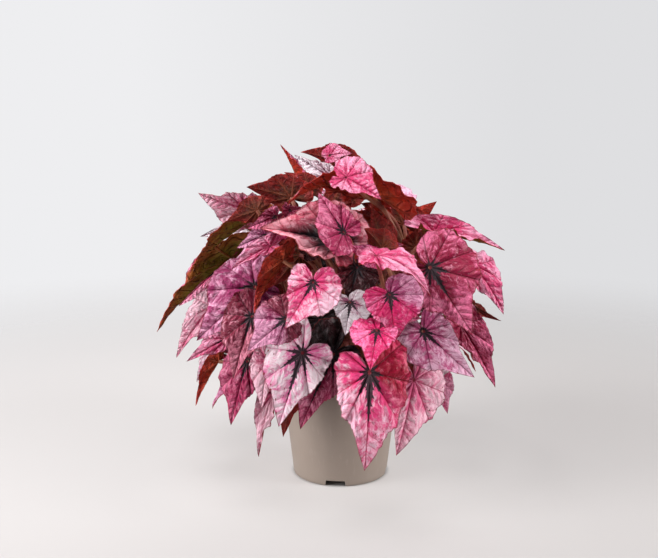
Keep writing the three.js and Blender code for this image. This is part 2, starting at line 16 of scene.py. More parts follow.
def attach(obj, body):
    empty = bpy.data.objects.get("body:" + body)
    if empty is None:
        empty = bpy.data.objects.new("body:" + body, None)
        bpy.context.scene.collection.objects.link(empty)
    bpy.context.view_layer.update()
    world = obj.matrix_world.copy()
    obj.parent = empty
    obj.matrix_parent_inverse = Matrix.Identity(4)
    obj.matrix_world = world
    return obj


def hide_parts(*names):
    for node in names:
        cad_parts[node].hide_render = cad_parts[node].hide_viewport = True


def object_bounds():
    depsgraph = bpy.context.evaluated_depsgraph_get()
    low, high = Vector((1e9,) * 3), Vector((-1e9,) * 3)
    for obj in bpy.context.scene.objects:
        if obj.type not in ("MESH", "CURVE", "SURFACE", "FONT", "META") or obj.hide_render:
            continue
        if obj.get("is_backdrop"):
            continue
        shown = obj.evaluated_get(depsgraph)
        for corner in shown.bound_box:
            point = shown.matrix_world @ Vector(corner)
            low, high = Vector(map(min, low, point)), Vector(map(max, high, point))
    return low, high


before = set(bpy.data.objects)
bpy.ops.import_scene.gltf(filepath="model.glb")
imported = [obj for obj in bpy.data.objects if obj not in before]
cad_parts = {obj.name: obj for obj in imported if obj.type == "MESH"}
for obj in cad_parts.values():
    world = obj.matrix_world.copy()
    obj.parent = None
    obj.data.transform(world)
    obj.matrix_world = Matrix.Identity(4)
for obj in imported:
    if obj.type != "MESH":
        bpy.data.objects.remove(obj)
cad_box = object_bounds()
scene = bpy.context.scene
MM = 0.001
UP = np.array([0.0, 0.0, 1.0])
print("solids:", len(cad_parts), "box:", [tuple(round(v, 3) for v in corner) for corner in cad_box])

# %% [markdown]
# ## The camera
#
# It stands a metre away and a little above the leaves. Its place was found from the round foot of
# the pot, whose ellipse tells how steeply the view looks down.

# %% Camera
EYE = np.array([-13.0, -1025.0, 402.0])
TILT = 80.1  # degrees from straight down
camera = bpy.data.objects.new("camera", bpy.data.cameras.new("camera"))
scene.collection.objects.link(camera)
camera.location = EYE * MM
camera.rotation_euler = (math.radians(TILT), 0, 0)
camera.data.lens = 50.9
camera.data.sensor_width = 36
scene.camera = camera
print("camera looks down by", round(90 - TILT, 1), "degrees")

# %% [markdown]
# ## Wiring materials
#
# A finish here is worked out by formulas, such as how far a point lies from the nearest vein. Node
# by node that is long to write, so a small class wraps a socket and lets Python's own signs add the
# Math nodes. Colours go through Mix nodes, because a Math node would turn them grey.

# %% The sockets that can be reckoned with
class Wire:
    """The output of a node, which takes part in sums like a number."""

    def __init__(self, plan, socket):
        self.plan = plan
        self.socket = socket

    def maths(self, operation, *others):
        parts = dict(enumerate([self, *others]))
        return self.plan.node("ShaderNodeMath", {"operation": operation}, parts)

    def other(self, name):
        """Another output of the same node."""
        return Wire(self.plan, self.socket.node.outputs[name])

    def __add__(self, other):
        return self.maths("ADD", other)

    def __mul__(self, other):
        return self.maths("MULTIPLY", other)

    def __sub__(self, other):
        return self.maths("SUBTRACT", other)

    def __rsub__(self, other):
        return self * -1 + other

    def __truediv__(self, other):
        return self.maths("DIVIDE", other)

    def __abs__(self):
        return self.maths("ABSOLUTE")

    __radd__, __rmul__ = __add__, __mul__


class Plan:
    """A tree of nodes while it is being wired."""

    def __init__(self, tree):
        self.tree = tree
        tree.nodes.clear()

    def node(self, kind, settings=None, sockets=None, out=0):
        """Adds a node: its settings first, then the values or wires of its sockets."""
        made = self.tree.nodes.new(kind)
        for name, value in (settings or {}).items():
            setattr(made, name, value)
        for name, value in (sockets or {}).items():
            for part in value if isinstance(value, list) else [value]:
                if isinstance(part, Wire):
                    self.tree.links.new(part.socket, made.inputs[name])
                else:
                    made.inputs[name].default_value = part
        return Wire(self, made.outputs[out])

    def end(self, kind, last):
        self.tree.links.new(last.socket, self.tree.nodes.new(kind).inputs[0])

    def step(self, value, low, high):
        """0 below low, 1 above high, with a soft step between. Low may be the larger."""
        ends = {"Value": value, "From Min": low, "From Max": high}
        return self.node("ShaderNodeMapRange", {"interpolation_type": "SMOOTHSTEP"}, ends)

    def blend(self, share, first, second, how="MIX"):
        """A colour between two, or the second laid on the first in another way."""
        settings = {"data_type": "RGBA", "blend_type": how}
        return self.node("ShaderNodeMix", settings, {0: share, 6: first, 7: second}, out=2)

    def apart(self, vector):
        """The three numbers of a vector or colour."""
        first = self.node("ShaderNodeSeparateXYZ", {}, {0: vector})
        return [first.other(axis) for axis in "XYZ"]

    def point(self, x, y, z=0.0):
        return self.node("ShaderNodeCombineXYZ", {}, {0: x, 1: y, 2: z})

    def noise(self, place, scale, detail=2.0, rough=0.5, out=0):
        sockets = {"Vector": place, "Scale": scale, "Detail": detail, "Roughness": rough}
        return self.node("ShaderNodeTexNoise", {}, sockets, out)

    def cloud(self, x, y, z, detail=2.0, rough=0.5, out=0):
        """Noise at a reckoned point, whose numbers hold the scale already."""
        return self.noise(self.point(x, y, z), 1.0, detail, rough, out)

    def length(self, vector):
        return self.node("ShaderNodeVectorMath", {"operation": "LENGTH"}, {0: vector}, out="Value")


class Finish(Plan):
    """A material while its nodes are being wired."""

    def __init__(self, name):
        self.material = bpy.data.materials.new(name)
        self.material.use_nodes = True
        super().__init__(self.material.node_tree)

    def coats(self, colour, *coats):
        """Colours laid over a first one, each with its share."""
        for share, coat in coats:
            colour = self.blend(share, colour, paint(*coat))
        return colour

    def object_place(self):
        return self.node("ShaderNodeTexCoord", out="Object")

    def attribute(self, name):
        return self.node("ShaderNodeAttribute", {"attribute_name": name}, out="Color")

    def finished(self, colour, roughness, bump=None, height=0.001, strength=1.0, **fixed):
        """Ends the tree in one surface. What is fixed is set on the shader's own sockets."""
        sockets = {"Base Color": colour, "Roughness": roughness}
        if bump is not None:
            rise = {"Height": bump, "Distance": height, "Strength": strength}
            sockets["Normal"] = self.node("ShaderNodeBump", {}, rise)
        sockets.update({name.replace("_", " "): value for name, value in fixed.items()})
        self.end("ShaderNodeOutputMaterial", self.node("ShaderNodeBsdfPrincipled", {}, sockets))
        print("finish:", self.material.name, len(self.tree.nodes), "nodes")
        return self.material


def paint(red, green, blue):
    """A colour as read off, 0 to 255, in the form that Blender reckons with."""
    shares = [value / 255 for value in (red, green, blue)]
    bright = [s / 12.92 if s <= 0.04045 else ((s + 0.055) / 1.055) ** 2.4 for s in shares]
    return (*bright, 1.0)


def compass(angle):
    """The level direction at an angle from the x axis."""
    return np.array([math.cos(angle), math.sin(angle), 0.0])


def mesh_object(name, points, faces, materials, face_slots=None, smooth_below=None):
    """A mesh from points in millimetres, at the origin, its place in its points."""
    mesh = bpy.data.meshes.new(name)
    mesh.from_pydata((np.asarray(points) * MM).tolist(), [], faces)
    for material in materials:
        mesh.materials.append(material)
    if face_slots is not None:
        mesh.polygons.foreach_set("material_index", np.asarray(face_slots, np.int32))
    mesh.shade_smooth()
    if smooth_below is not None:
        mesh.set_sharp_from_angle(angle=math.radians(smooth_below))
    made = bpy.data.objects.new(name, mesh)
    scene.collection.objects.link(made)
    return made


def belongs(piece, slot, *nodes):
    """A piece rides on the root body and stands for solids, which it hides. The slot is not used."""
    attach(piece, "root")
    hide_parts(*nodes)
    print(piece.name, "triangles:", sum(len(p.vertices) - 2 for p in piece.data.polygons))


print("helpers are ready")

# %% [markdown]
# ## Floor and light
#
# The plant stands on a pale sweep with no edge. A wide disc is the floor. It fades out with distance,
# so it meets the backdrop without a line. Its glow is painted light: a little everywhere, less to the
# front and less to the right, as if lit from the left, and more close around the pot, where it lifts the
# shade.
# Two tall soft boxes stand left and right, one hangs overhead and two faint ones stand before and
# behind the plant.

# %% Floor
FLOOR = {"radius": 3200, "sides": 96, "fade_from": 0.35, "fade_to": 1.5}
sweep = Finish("sweep")
floor_place = sweep.object_place()
floor_x, floor_y, _ = sweep.apart(floor_place)
away = sweep.length(floor_place)
speckle = sweep.noise(floor_place, 900.0)
floor_colour = sweep.blend(speckle * 0.06, paint(168, 164, 163), paint(156, 153, 151))
# painted light: the floor glows less to the right, as if the light came from the left, and less to the front
rightward = sweep.step(floor_x, -0.35, 0.35)
back_glow = sweep.blend(rightward, paint(146, 144, 144), paint(94, 92, 92))
front_glow = sweep.blend(rightward, paint(100, 98, 98), paint(54, 53, 53))
floor_glow = sweep.blend(sweep.step(floor_y, 0.05, -0.4), back_glow, front_glow)
# painted light: a stronger glow close around the pot lifts the shade there
near_glow = sweep.blend(sweep.step(floor_y, -0.06, -0.18), paint(170, 167, 166), paint(117, 115, 114))
floor_glow = sweep.blend(sweep.step(away, 0.26, 0.1) * 0.8, floor_glow, near_glow)
floor_glow = sweep.blend(sweep.step(away, 0.05, 0.058), paint(0, 0, 0), floor_glow)
faded = sweep.step(away, FLOOR["fade_from"], FLOOR["fade_to"])
glow = {"Emission_Color": floor_glow, "Emission_Strength": 1.0}
floor_finish = sweep.finished(floor_colour, 0.7, Alpha=1 - faded, **glow)
floor_edge = [compass(2 * math.pi * i / FLOOR["sides"]) * FLOOR["radius"] for i in range(FLOOR["sides"])]
mesh_object("floor", floor_edge, [tuple(range(FLOOR["sides"]))], [floor_finish])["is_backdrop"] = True

# %% Light
BOXES = {  # place, size and power of each soft box
    "left_box": ((-1.5, -0.6, 0.85), (0.8, 1.3), 38),
    "right_box": ((1.55, -0.5, 0.8), (0.7, 1.2), 30),
    "front_box": ((-0.35, -1.75, 1.15), (0.9, 0.7), 1.4),
    "top_box": ((-0.15, -0.4, 1.9), (0.9, 0.9), 23),
    "back_box": ((0.3, 1.9, 1.0), (1.2, 1.0), 9),
}
BOXES_AIM = Vector((0.0, 0.0, 0.2))
SKY_TONES = [(0.3, paint(238, 238, 240)), (0.7, paint(223, 223, 225))]
for name, (place, size, power) in BOXES.items():
    lamp = bpy.data.lights.new(name, "AREA")
    lamp.shape = "RECTANGLE"
    lamp.size, lamp.size_y = size
    lamp.energy = power
    box = bpy.data.objects.new(name, lamp)
    box.location = place
    box.rotation_euler = (BOXES_AIM - Vector(place)).to_track_quat("-Z", "Y").to_euler()
    scene.collection.objects.link(box)

scene.world = bpy.data.worlds.new("studio")
scene.world.use_nodes = True
sky = Plan(scene.world.node_tree)
sky_side, _, _ = sky.apart(sky.node("ShaderNodeTexCoord", out="Generated"))
sky_tones = sky.node("ShaderNodeValToRGB", {}, {0: sky_side + 0.5})
for element, (place, colour) in zip(sky_tones.socket.node.color_ramp.elements, SKY_TONES):
    element.position, element.color = place, colour
seen_sky = sky.node("ShaderNodeBackground", {}, {"Color": sky_tones})
lit_sky = sky.node("ShaderNodeBackground", {}, {"Color": paint(250, 250, 252), "Strength": 0.12})
to_camera = sky.node("ShaderNodeLightPath", out="Is Camera Ray")
sky.end("ShaderNodeOutputWorld", sky.node("ShaderNodeMixShader", {}, {0: to_camera, 1: lit_sky, 2: seen_sky}))
scene.view_settings.view_transform = "Standard"
scene.view_settings.look = "None"
print("lights:", list(BOXES))

# %% [markdown]
# ## The pot
#
# A nursery pot is thin plastic: a cone with a stiff band at the lip, a raised floor and four notches
# in the foot, through which water drains. It could be a stack of cylinders, but one section turned
# about the axis gives wall, lip and floor their real thickness at once. Notches and holes are cut out.

# %% Turning a section about the axis
def turned(section, sides):
    """Points and faces of a closed body from (radius, height) pairs, up the outside."""
    points, rows = [], []
    for radius, height in section:
        rows.append(len(points))
        count = 1 if radius == 0 else sides
        for i in range(count):
            angle = 2 * math.pi * i / sides
            points.append((radius * math.cos(angle), radius * math.sin(angle), height))
    faces = []
    for (low, high), start, end in zip(zip(section, section[1:]), rows, rows[1:]):
        for i in range(sides):
            j = (i + 1) % sides
            if low[0] == 0:
                faces.append((start, end + j, end + i))
            elif high[0] == 0:
                faces.append((start + i, start + j, end))
            else:
                faces.append((start + i, start + j, end + j, end + i))
    return points, faces


def gathered(bodies):
    """The points and faces of several bodies as those of one."""
    points, faces = [], []
    for own_points, own_faces in bodies:
        faces += [tuple(len(points) + k for k in face) for face in own_faces]
        points += list(own_points)
    return points, faces


def rounded(corner, before, after, radius, steps=5):
    """Points of a soft corner in a section."""
    corner, before, after = (np.array(p, float) for p in (corner, before, after))
    start = corner + (before - corner) / np.linalg.norm(before - corner) * radius
    end = corner + (after - corner) / np.linalg.norm(after - corner) * radius
    shares = [i / steps for i in range(steps + 1)]
    return [tuple((1 - t) ** 2 * start + 2 * t * (1 - t) * corner + t * t * end) for t in shares]


def plain_mesh(made):
    """Bakes an object's modifiers into its mesh."""
    bpy.context.view_layer.update()
    depsgraph = bpy.context.evaluated_depsgraph_get()
    mesh = bpy.data.meshes.new_from_object(made.evaluated_get(depsgraph))
    made.modifiers.clear()
    made.data = mesh


def cut(body, cutter):
    """Takes one closed mesh out of another."""
    tool = body.modifiers.new("cut", "BOOLEAN")
    tool.object = cutter
    tool.operation = "DIFFERENCE"
    tool.solver = "EXACT"
    plain_mesh(body)
    bpy.data.objects.remove(cutter)


print("a section of 4 corners and 8 sides has", len(turned([(0, 0), (1, 0), (1, 1), (0, 1)], 8)[1]), "faces")

# %% Pot finish
clay = Finish("taupe_plastic")
clay_place = clay.object_place()
clay_x, clay_y, clay_z = clay.apart(clay_place)
mottle = clay.noise(clay_place, 22.0, 3.0)
grain = clay.noise(clay_place, 1500.0, 1.0)
scuffs = clay.step(clay.cloud(clay_x * 240, clay_y * 240, clay_z * 40, 4.0), 0.6, 0.78)
# darker in the lowest 8 mm of the pot, towards the floor
darker_foot = clay.step(clay_z + mottle * 0.004, 0.008, 0.0)
clay_tone = clay.coats(paint(151, 137, 127), (mottle, (141, 126, 115)), (scuffs * 0.16, (186, 174, 164)),
                       (grain * 0.12, (120, 106, 96)), (darker_foot * 0.5, (122, 110, 100)))
clay_rough = 0.5 + mottle * 0.1 - scuffs * 0.06
clay_bump = grain * 0.35 + scuffs * 0.2
clay_finish = clay.finished(clay_tone, clay_rough, clay_bump, 0.0002, 0.5)

# %% Pot
POT = {"top": 70, "foot": 53.4, "height": 122, "wall": 2, "rim": 13, "rim_out": 2.2, "floor": 8, "hub": 11}
NOTCH = {"count": 4, "first": -96.5, "top": 20.5, "foot": 23.5, "height": 6.5, "reach": 6}
DRAIN = {"radius": 5, "ring": 30, "from": 2, "deep": 14, "sides": 32}
POT_SIDES = 192
BOX_FACES = ((3, 2, 1, 0), (4, 5, 6, 7), (0, 1, 5, 4), (1, 2, 6, 5), (2, 3, 7, 6), (3, 0, 4, 7))


def pot_radius(z):
    return POT["foot"] + (POT["top"] - POT["rim_out"] - POT["foot"]) * z / POT["height"]


def pot_section():
    height, wall, out = POT["height"], POT["wall"], POT["rim_out"]
    band = height - POT["rim"]
    low_in = (pot_radius(POT["floor"] + wall) - wall, POT["floor"] + wall)
    hub_top, hub_foot = (POT["hub"], POT["floor"]), (POT["hub"], 0)
    under_rim, over_rim = (pot_radius(band), band), (pot_radius(band) + out, band + 0.8)
    lip_out, lip_in = (pot_radius(height) + out, height), (pot_radius(height) - wall, height)
    foot_out, foot_in = (pot_radius(0), 0), (pot_radius(0) - wall - 1.2, 0)
    groove = [(pot_radius(z) - deep, z) for z, deep in ((band - 4.2, 0), (band - 3.6, 0.35), (band - 3, 0))]
    side = (pot_radius(60), 60)
    section = [(0, 0), *rounded(hub_foot, (0, 0), hub_top, 1), hub_top]
    section += [(pot_radius(POT["floor"]) - wall, POT["floor"])]
    section += rounded(foot_in, (foot_in[0], 5), foot_out, 0.6) + rounded(foot_out, foot_in, side, 1.5)
    section += [(pot_radius(z), z) for z in range(10, 100, 10)] + groove
    section += [under_rim, *rounded(over_rim, under_rim, lip_out, 0.6)]
    section += rounded(lip_out, over_rim, lip_in, 1.1) + rounded(lip_in, lip_out, low_in, 0.8)
    return section + [*rounded(low_in, lip_in, (0, low_in[1]), 2), (0, low_in[1])]


def notch(facing):
    """A block that is wider at its foot, through the wall at the foot of the pot."""
    ahead = compass(facing)
    across = np.cross(UP, ahead)
    foot, top = NOTCH["foot"] / 2, NOTCH["top"] / 2
    outline = ((-foot, -1), (foot, -1), (top, NOTCH["height"]), (-top, NOTCH["height"]))
    depths = (POT["foot"] - NOTCH["reach"], POT["foot"] + NOTCH["reach"])
    return [ahead * depth + across * half + UP * up for depth in depths for half, up in outline], BOX_FACES


def drain(facing):
    radius, deep = DRAIN["radius"], DRAIN["deep"]
    points, faces = turned([(0, 0), (radius, 0), (radius, deep), (0, deep)], DRAIN["sides"])
    return compass(facing) * DRAIN["ring"] + UP * DRAIN["from"] + points, faces


pot = mesh_object("nursery_pot", *turned(pot_section(), POT_SIDES), [clay_finish])
for name, tool, ahead in (("notches", notch, 0), ("holes", drain, 0.5)):
    count = NOTCH["count"]
    facings = [math.radians(NOTCH["first"] + 360 * (i + ahead) / count) for i in range(count)]
    cut(pot, mesh_object(name, *gathered(map(tool, facings)), []))
pot.data.shade_smooth()
pot.data.set_sharp_from_angle(angle=math.radians(35))
belongs(pot, "plastic", "pot")

# %% [markdown]
# ## The soil
#
# Dark peat fills the pot and shows only between the lowest stalks. Its body is turned like the pot,
# with a rough top. Loose crumbs lie on it. They repeat hundreds of times, so Geometry Nodes scatter
# them from a fixed seed, and each crumb has only a few faces.

# %% A small bench for geometry trees
class Bench(Plan):
    """A Geometry Nodes tree with named inputs for its sizes."""

    def __init__(self, name, **sizes):
        super().__init__(bpy.data.node_groups.new(name, "GeometryNodeTree"))
        ends = self.tree.interface
        ends.new_socket("Geometry", in_out="INPUT", socket_type="NodeSocketGeometry")
        self.values = {}
        for label, value in sizes.items():
            kind = "NodeSocketInt" if isinstance(value, int) else "NodeSocketFloat"
            self.values[ends.new_socket(label, in_out="INPUT", socket_type=kind).identifier] = value
        ends.new_socket("Geometry", in_out="OUTPUT", socket_type="NodeSocketGeometry")
        self.start = self.node("NodeGroupInput")

    def chance(self, low, high):
        """Three numbers drawn anew for each copy."""
        limits = {0: low, 1: high, "Seed": self.start.other("Seed")}
        return self.node("FunctionNodeRandomValue", {"data_type": "FLOAT_VECTOR"}, limits)

    def finish(self, geometry, material):
        """Real mesh at the end, with its material, because copies by reference are lost on export."""
        real = self.node("GeometryNodeRealizeInstances", {}, {0: geometry})
        self.end("NodeGroupOutput", self.node("GeometryNodeSetMaterial", {}, {0: real, "Material": material}))

    def grow(self, made):
        """Runs the tree on an object and keeps the outcome as a plain mesh."""
        tool = made.modifiers.new(self.tree.name, "NODES")
        tool.node_group = self.tree
        for identifier, value in self.values.items():
            tool[identifier] = value
        plain_mesh(made)
        made.data.name = made.name


print("geometry bench is ready")

# %% Soil
SOIL = {"top": 109, "gap": 0.3, "bump": 1.6, "sides": 96, "rings": 26, "round": 0.97, "crumbs_within": 60}
peat = Finish("peat")
peat_place = peat.object_place()
peat_fine = peat.noise(peat_place, 700.0, 4.0, 0.7)
peat_coarse = peat.noise(peat_place, 140.0, 3.0)
dark_lumps = peat.step(peat_coarse, 0.5, 0.75) * 0.6
peat_tone = peat.coats(paint(30, 22, 17), (peat_fine, (74, 54, 40)), (dark_lumps, (24, 18, 14)))
peat_finish = peat.finished(peat_tone, 0.85 + peat_fine * 0.12, peat_fine + peat_coarse, 0.0012, 0.9)


def soil_edge(z):
    return pot_radius(z) - POT["wall"] - SOIL["gap"] - 0.2


def soil_rise(x, y):
    rolling = np.sin(x * 0.31 + 1.3) * np.cos(y * 0.27) + 0.6 * np.sin(x * 0.13 - y * 0.41)
    rough = np.sin(x * 1.7 + y * 0.6) * np.sin(y * 1.9 - x * 0.4) * 0.5
    return SOIL["bump"] * 0.6 * rolling + rough


soil_low, soil_top = POT["floor"] + POT["wall"] + SOIL["gap"], SOIL["top"]
soil_section = [(0, soil_low), (soil_edge(soil_low), soil_low), (soil_edge(soil_top), soil_top - 2)]
shares = [i / SOIL["rings"] for i in range(SOIL["rings"], 0, -1)]
soil_section += [(soil_edge(soil_top) * share * SOIL["round"], soil_top) for share in shares]
soil_points, soil_faces = turned([*soil_section, (0, soil_top)], SOIL["sides"])
soil_points = np.array(soil_points)
on_top = soil_points[:, 2] > soil_top - 1
soil_points[on_top, 2] += soil_rise(soil_points[on_top, 0], soil_points[on_top, 1])
soil = mesh_object("soil_mound", soil_points, soil_faces, [peat_finish])

CRUMBS = {"Crumbs": 42000.0, "Largest": 0.0019, "Seed": 5}
pile = Bench("crumbs", **CRUMBS)
crumb_spots = pile.node("GeometryNodeDistributePointsOnFaces", {}, {
    "Mesh": pile.start, "Density": pile.start.other("Crumbs"), "Seed": pile.start.other("Seed")})
crumb = pile.node("GeometryNodeMeshIcoSphere", {}, {"Radius": pile.start.other("Largest"), "Subdivisions": 1})
crumb_copies = pile.node("GeometryNodeInstanceOnPoints", {}, {
    "Points": crumb_spots, "Instance": crumb, "Rotation": pile.chance((0, 0, 0), (6.3, 6.3, 6.3)),
    "Scale": pile.chance((0.25, 0.3, 0.2), (0.9, 0.7, 0.6))})
pile.finish(crumb_copies, peat_finish)
crumbs_lie = on_top & (np.hypot(soil_points[:, 0], soil_points[:, 1]) < SOIL["crumbs_within"])
crumb_faces = [face for face in soil_faces if crumbs_lie[list(face)].all()]
crumbs = mesh_object("soil_crumbs", soil_points, crumb_faces, [])
pile.grow(crumbs)
belongs(soil, "soil", "soil")
belongs(crumbs, "soil", "soil")

# %% [markdown]
# ## Where each leaf lies
#
# A row below gives a leaf of the front as the solid model has it: where its stalk ends and where its
# tip lies, how it is turned, arched, folded and rolled. The leaves of the far side follow a rule. The
# solid model then slid some leaves outwards to get them clear of each other and chose a way for
# each stalk, so the final places are looked up in the solids' own corners.

# %% The leaves as they were laid out
# Columns: stalk end (across, up, out), tip (across, up, out), turn, wide, big side, droop, fold, roll,
# then the paint: tone, reach of the star, back (maroon where none is given). Of two tones the second
# lies on the lobe on the right after +, on both lobes after ^ and at the stalk's end after *.
# The two darkest tones are painted shade: they go on leaves deep among the others and on lobes and stalk ends
# that others shade.
LAID_OUT = """
# low leaves, hanging over the pot
33 115 136 28 -4 140 -8 .76 1 35 -8 -20 rose+ruby .44
84 106 104 65 16 116 -14 .8 1 20 -5 -15 pale 0
-43 138 122 -71 50 136 5 .86 -1 25 0 -18 silver .56
-8 136 96 -46 48 116 10 .78 -1 25 0 -12 berry^dusk .56
-76 92 92 -95 14 104 30 .4 -1 20 18 10 pale 0
-82 128 100 -90 72 108 20 .7 -1 20 0 -10 pale .2
-50 106 72 -66 38 84 170 .65 1 15 0 10 lilac .2 chestnut
-106 128 90 -126 52 106 10 .68 -1 25 -6 -12 berry .3
-138 128 34 -166 76 48 120 .45 1 15 40 20 pink .2 rust
-140 142 14 -164 104 20 40 .55 -1 20 20 0 silver 0 brown
110 110 60 123 66 70 0 .7 1 15 0 -10 pink .2
116 142 80 108 94 92 10 .65 1 20 0 -15 silver .2
84 146 62 92 92 72 175 .8 1 15 0 10 pink .2
# middle leaves
41 163 146 34 118 184 0 .95 -1 35 8 -15 hot .4
55 205 140 62 152 144 0 1.25 1 50 6 -12 hot+mauve .36
-31 219 140 -63 166 162 0 1.02 1 30 8 -15 rose .34 chestnut
94 163 110 153 109 126 0 .85 -1 25 4 -15 lilac .3
-100 180 88 -122 108 110 10 .76 -1 25 10 -12 plum .4
-62 177 130 -106 140 146 0 1 -1 30 -5 -12 mauve^plum .34
-128 155 58 -175 128 70 15 .55 -1 20 5 -5 pink .3 chestnut
-144 192 34 -186 133 46 35 .55 -1 25 10 0 pale 0 brown
-150 195 14 -162 156 24 165 .65 1 20 5 10 silver 0 grey
-96 214 78 -163 152 98 5 .9 -1 25 -5 -12 mauve .36
-122 247 44 -208 163 66 82 .42 1 20 48 10 pink 0 olive
-140 232 20 -182 192 34 0 .8 -1 20 5 -10 pink .2 rust
100 236 92 148 162 116 5 1.05 1 25 -5 -15 crimson .4 chestnut
148 238 28 184 182 50 -15 .6 1 70 0 -20 pink .2
140 200 34 181 175 42 150 .45 1 15 20 10 crimson 0
134 190 50 161 168 58 0 .7 1 30 0 -10 pink .2
136 170 54 177 98 70 -25 .55 1 20 15 10 crimson 0
-24 176 80 -32 116 92 0 .9 1 20 0 -10 dusk .4
11 196 118 5 158 132 0 1.2 1 25 5 -10 frost .5
18 236 96 8 188 106 0 1 1 30 8 -15 wine .5
14 264 62 42 222 78 0 1 1 30 8 -15 plum^dusk .4
28 179 100 6 162 112 0 1.1 1 20 5 -10 berry^wine .4
46 176 96 92 178 108 -10 .8 1 35 0 -15 berry .46
-36 253 84 -10 255 92 0 .8 1 20 5 -10 wine .3
-45 250 62 -75 216 72 175 1.1 1 15 5 10 wine .3
-64 244 92 -97 181 104 135 .45 1 40 10 15 pink .2 rust
90 218 84 102 172 96 0 1.1 1 20 0 -10 wine .3
-70 196 64 -84 150 76 170 1 1 20 0 10 dusk .2
# upper leaves
-6 265 98 -90 281 116 25 .92 -1 20 20 5 salmon*dusk .52 chestnut
3 276 120 -25 320 102 0 .9 1 20 16 5 berry .3 chestnut
40 249 118 99 205 140 -48 .56 1 75 0 -10 pink 0 rust
36 249 104 4 262 108 10 .7 1 30 5 -10 hot .2 rust
46 258 96 26 280 100 160 1.1 1 60 10 25 pink .2 chestnut
50 262 92 70 262 102 10 .9 1 50 15 20 pink .2 chestnut
-56 300 92 -66 284 106 0 1.1 1 25 22 5 crimson .3
-72 293 88 -104 280 98 0 .8 1 25 0 -10 crimson .2
-84 272 74 -116 258 84 20 .9 1 25 5 -10 mauve .2
-78 260 86 -122 234 96 30 .5 -1 30 15 0 pink 0 chestnut
-106 284 50 -169 230 68 82 .42 1 20 48 10 pale 0 olive
-92 300 56 -126 288 62 170 .85 1 25 0 10 pink .2 brown
-104 302 24 -157 319 32 -25 .85 1 25 10 -5 pale 0
-100 286 4 -156 271 12 10 .55 1 20 10 0 frost 0 chestnut
-54 314 48 -104 326 54 165 .85 1 30 0 10 pink .2
104 276 68 182 256 86 -52 .46 1 15 40 5 pink 0 olive
116 266 46 154 236 58 170 .75 1 25 0 10 pink .2 chestnut
70 284 40 22 308 46 165 .85 1 25 5 10 pink .2
56 280 22 106 310 28 165 .8 1 25 0 10 pink .2 rust
112 262 60 80 290 62 170 .9 1 25 0 10 pink .2 chestnut
-24 290 40 14 318 34 170 1 1 25 0 10 pink .2
-14 298 42 6 338 36 170 .9 1 25 0 10 pink .2
-30 276 56 -66 304 50 170 .9 1 25 0 10 pink .2
# the top
6 336 80 44 312 100 -20 .95 1 30 18 0 pink 0 rust
38 316 50 -57 306 76 118 .62 1 85 5 0 pink .2 rust
-10 336 36 -51 361 26 -5 .6 1 15 12 0 frost 0 chestnut
4 350 18 -44 364 8 150 .7 1 40 10 10 pink .2 chestnut
-12 360 16 12 362 22 -20 .9 1 60 10 -10 pink .2 rust
-48 334 0 -66 372 6 72 .7 1 15 40 5 pink .2 rust
-36 322 40 -62 342 34 150 .9 1 20 20 10 pink .2
8 318 14 16 348 6 160 1.1 1 30 10 10 pink .2
# in the shade between the upper and the middle leaves
-14 260 8 -30 212 22 0 1.1 1 25 0 -10 dusk .3
30 254 10 12 206 26 0 1.1 1 25 0 -10 dusk .3
84 258 66 104 292 58 170 1 1 20 0 10 wine .2 chestnut
44 268 78 34 304 62 172 .9 1 20 0 10 wine .2
"""
FRONT = [line.split() for line in LAID_OUT.splitlines() if line[:1] not in ("", "#")]
TIERS = [(8, (98, 140), (150, 66)), (8, (112, 182), (176, 112)), (8, (110, 220), (178, 162)),
         (7, (96, 256), (166, 214)), (5, (70, 290), (134, 266)), (4, (34, 312), (92, 316))]
FAR = {"from": -16, "to": 196, "flatter": 0.15, "radius": 7, "height": 10, "angle": 4, "aim": 16, "seed": 7}
RINGS = [(1, 0, 0), (6, 22, 10), (11, 44, -8)]
# thick and notch in millimetres, body and belly in blade lengths, spike to shoulder in degrees
BLADE = {"thick": 0.9, "notch": 3.6, "body": 0.53, "belly": 0.065, "spike": 15, "belly_at": 48,
         "belly_wide": 22, "shoulder": 112, "small": 0.82, "skew": 26, "lobe_droop": 0.35}


def unit(vector):
    return vector / np.linalg.norm(vector)


def seen(across, up, out):
    """A point given as the eye sees it in the plane through the axis, brought out in front of it."""
    share = (-EYE[1] - out) / -EYE[1]
    return (np.array([across, 0.0, up]) - EYE) * share + EYE


def dice(seed):
    state = seed
    while True:
        state = state * 16807 % 2147483647
        yield state / 2147483647


def leaf_from(at, tip, face, shape):
    """The frame of a blade between its stalk end and its tip."""
    turn, wide, big, droop, fold, roll = shape
    chord = unit(tip - at)
    toward = unit(face - chord * face.dot(chord))
    angle, half = math.radians(turn), math.radians(droop) / 2
    up = toward * math.cos(angle) + np.cross(chord, toward) * math.sin(angle)
    return {
        "at": at,
        "along": chord * math.cos(half) + up * math.sin(half),
        "lift": up * math.cos(half) - chord * math.sin(half),
        "side": np.cross(up, chord),
        "length": np.linalg.norm(tip - at) * half / math.sin(half),
        "wide": wide, "big": big, "droop": math.radians(droop),
        "fold": math.radians(fold), "roll": math.radians(roll),
    }


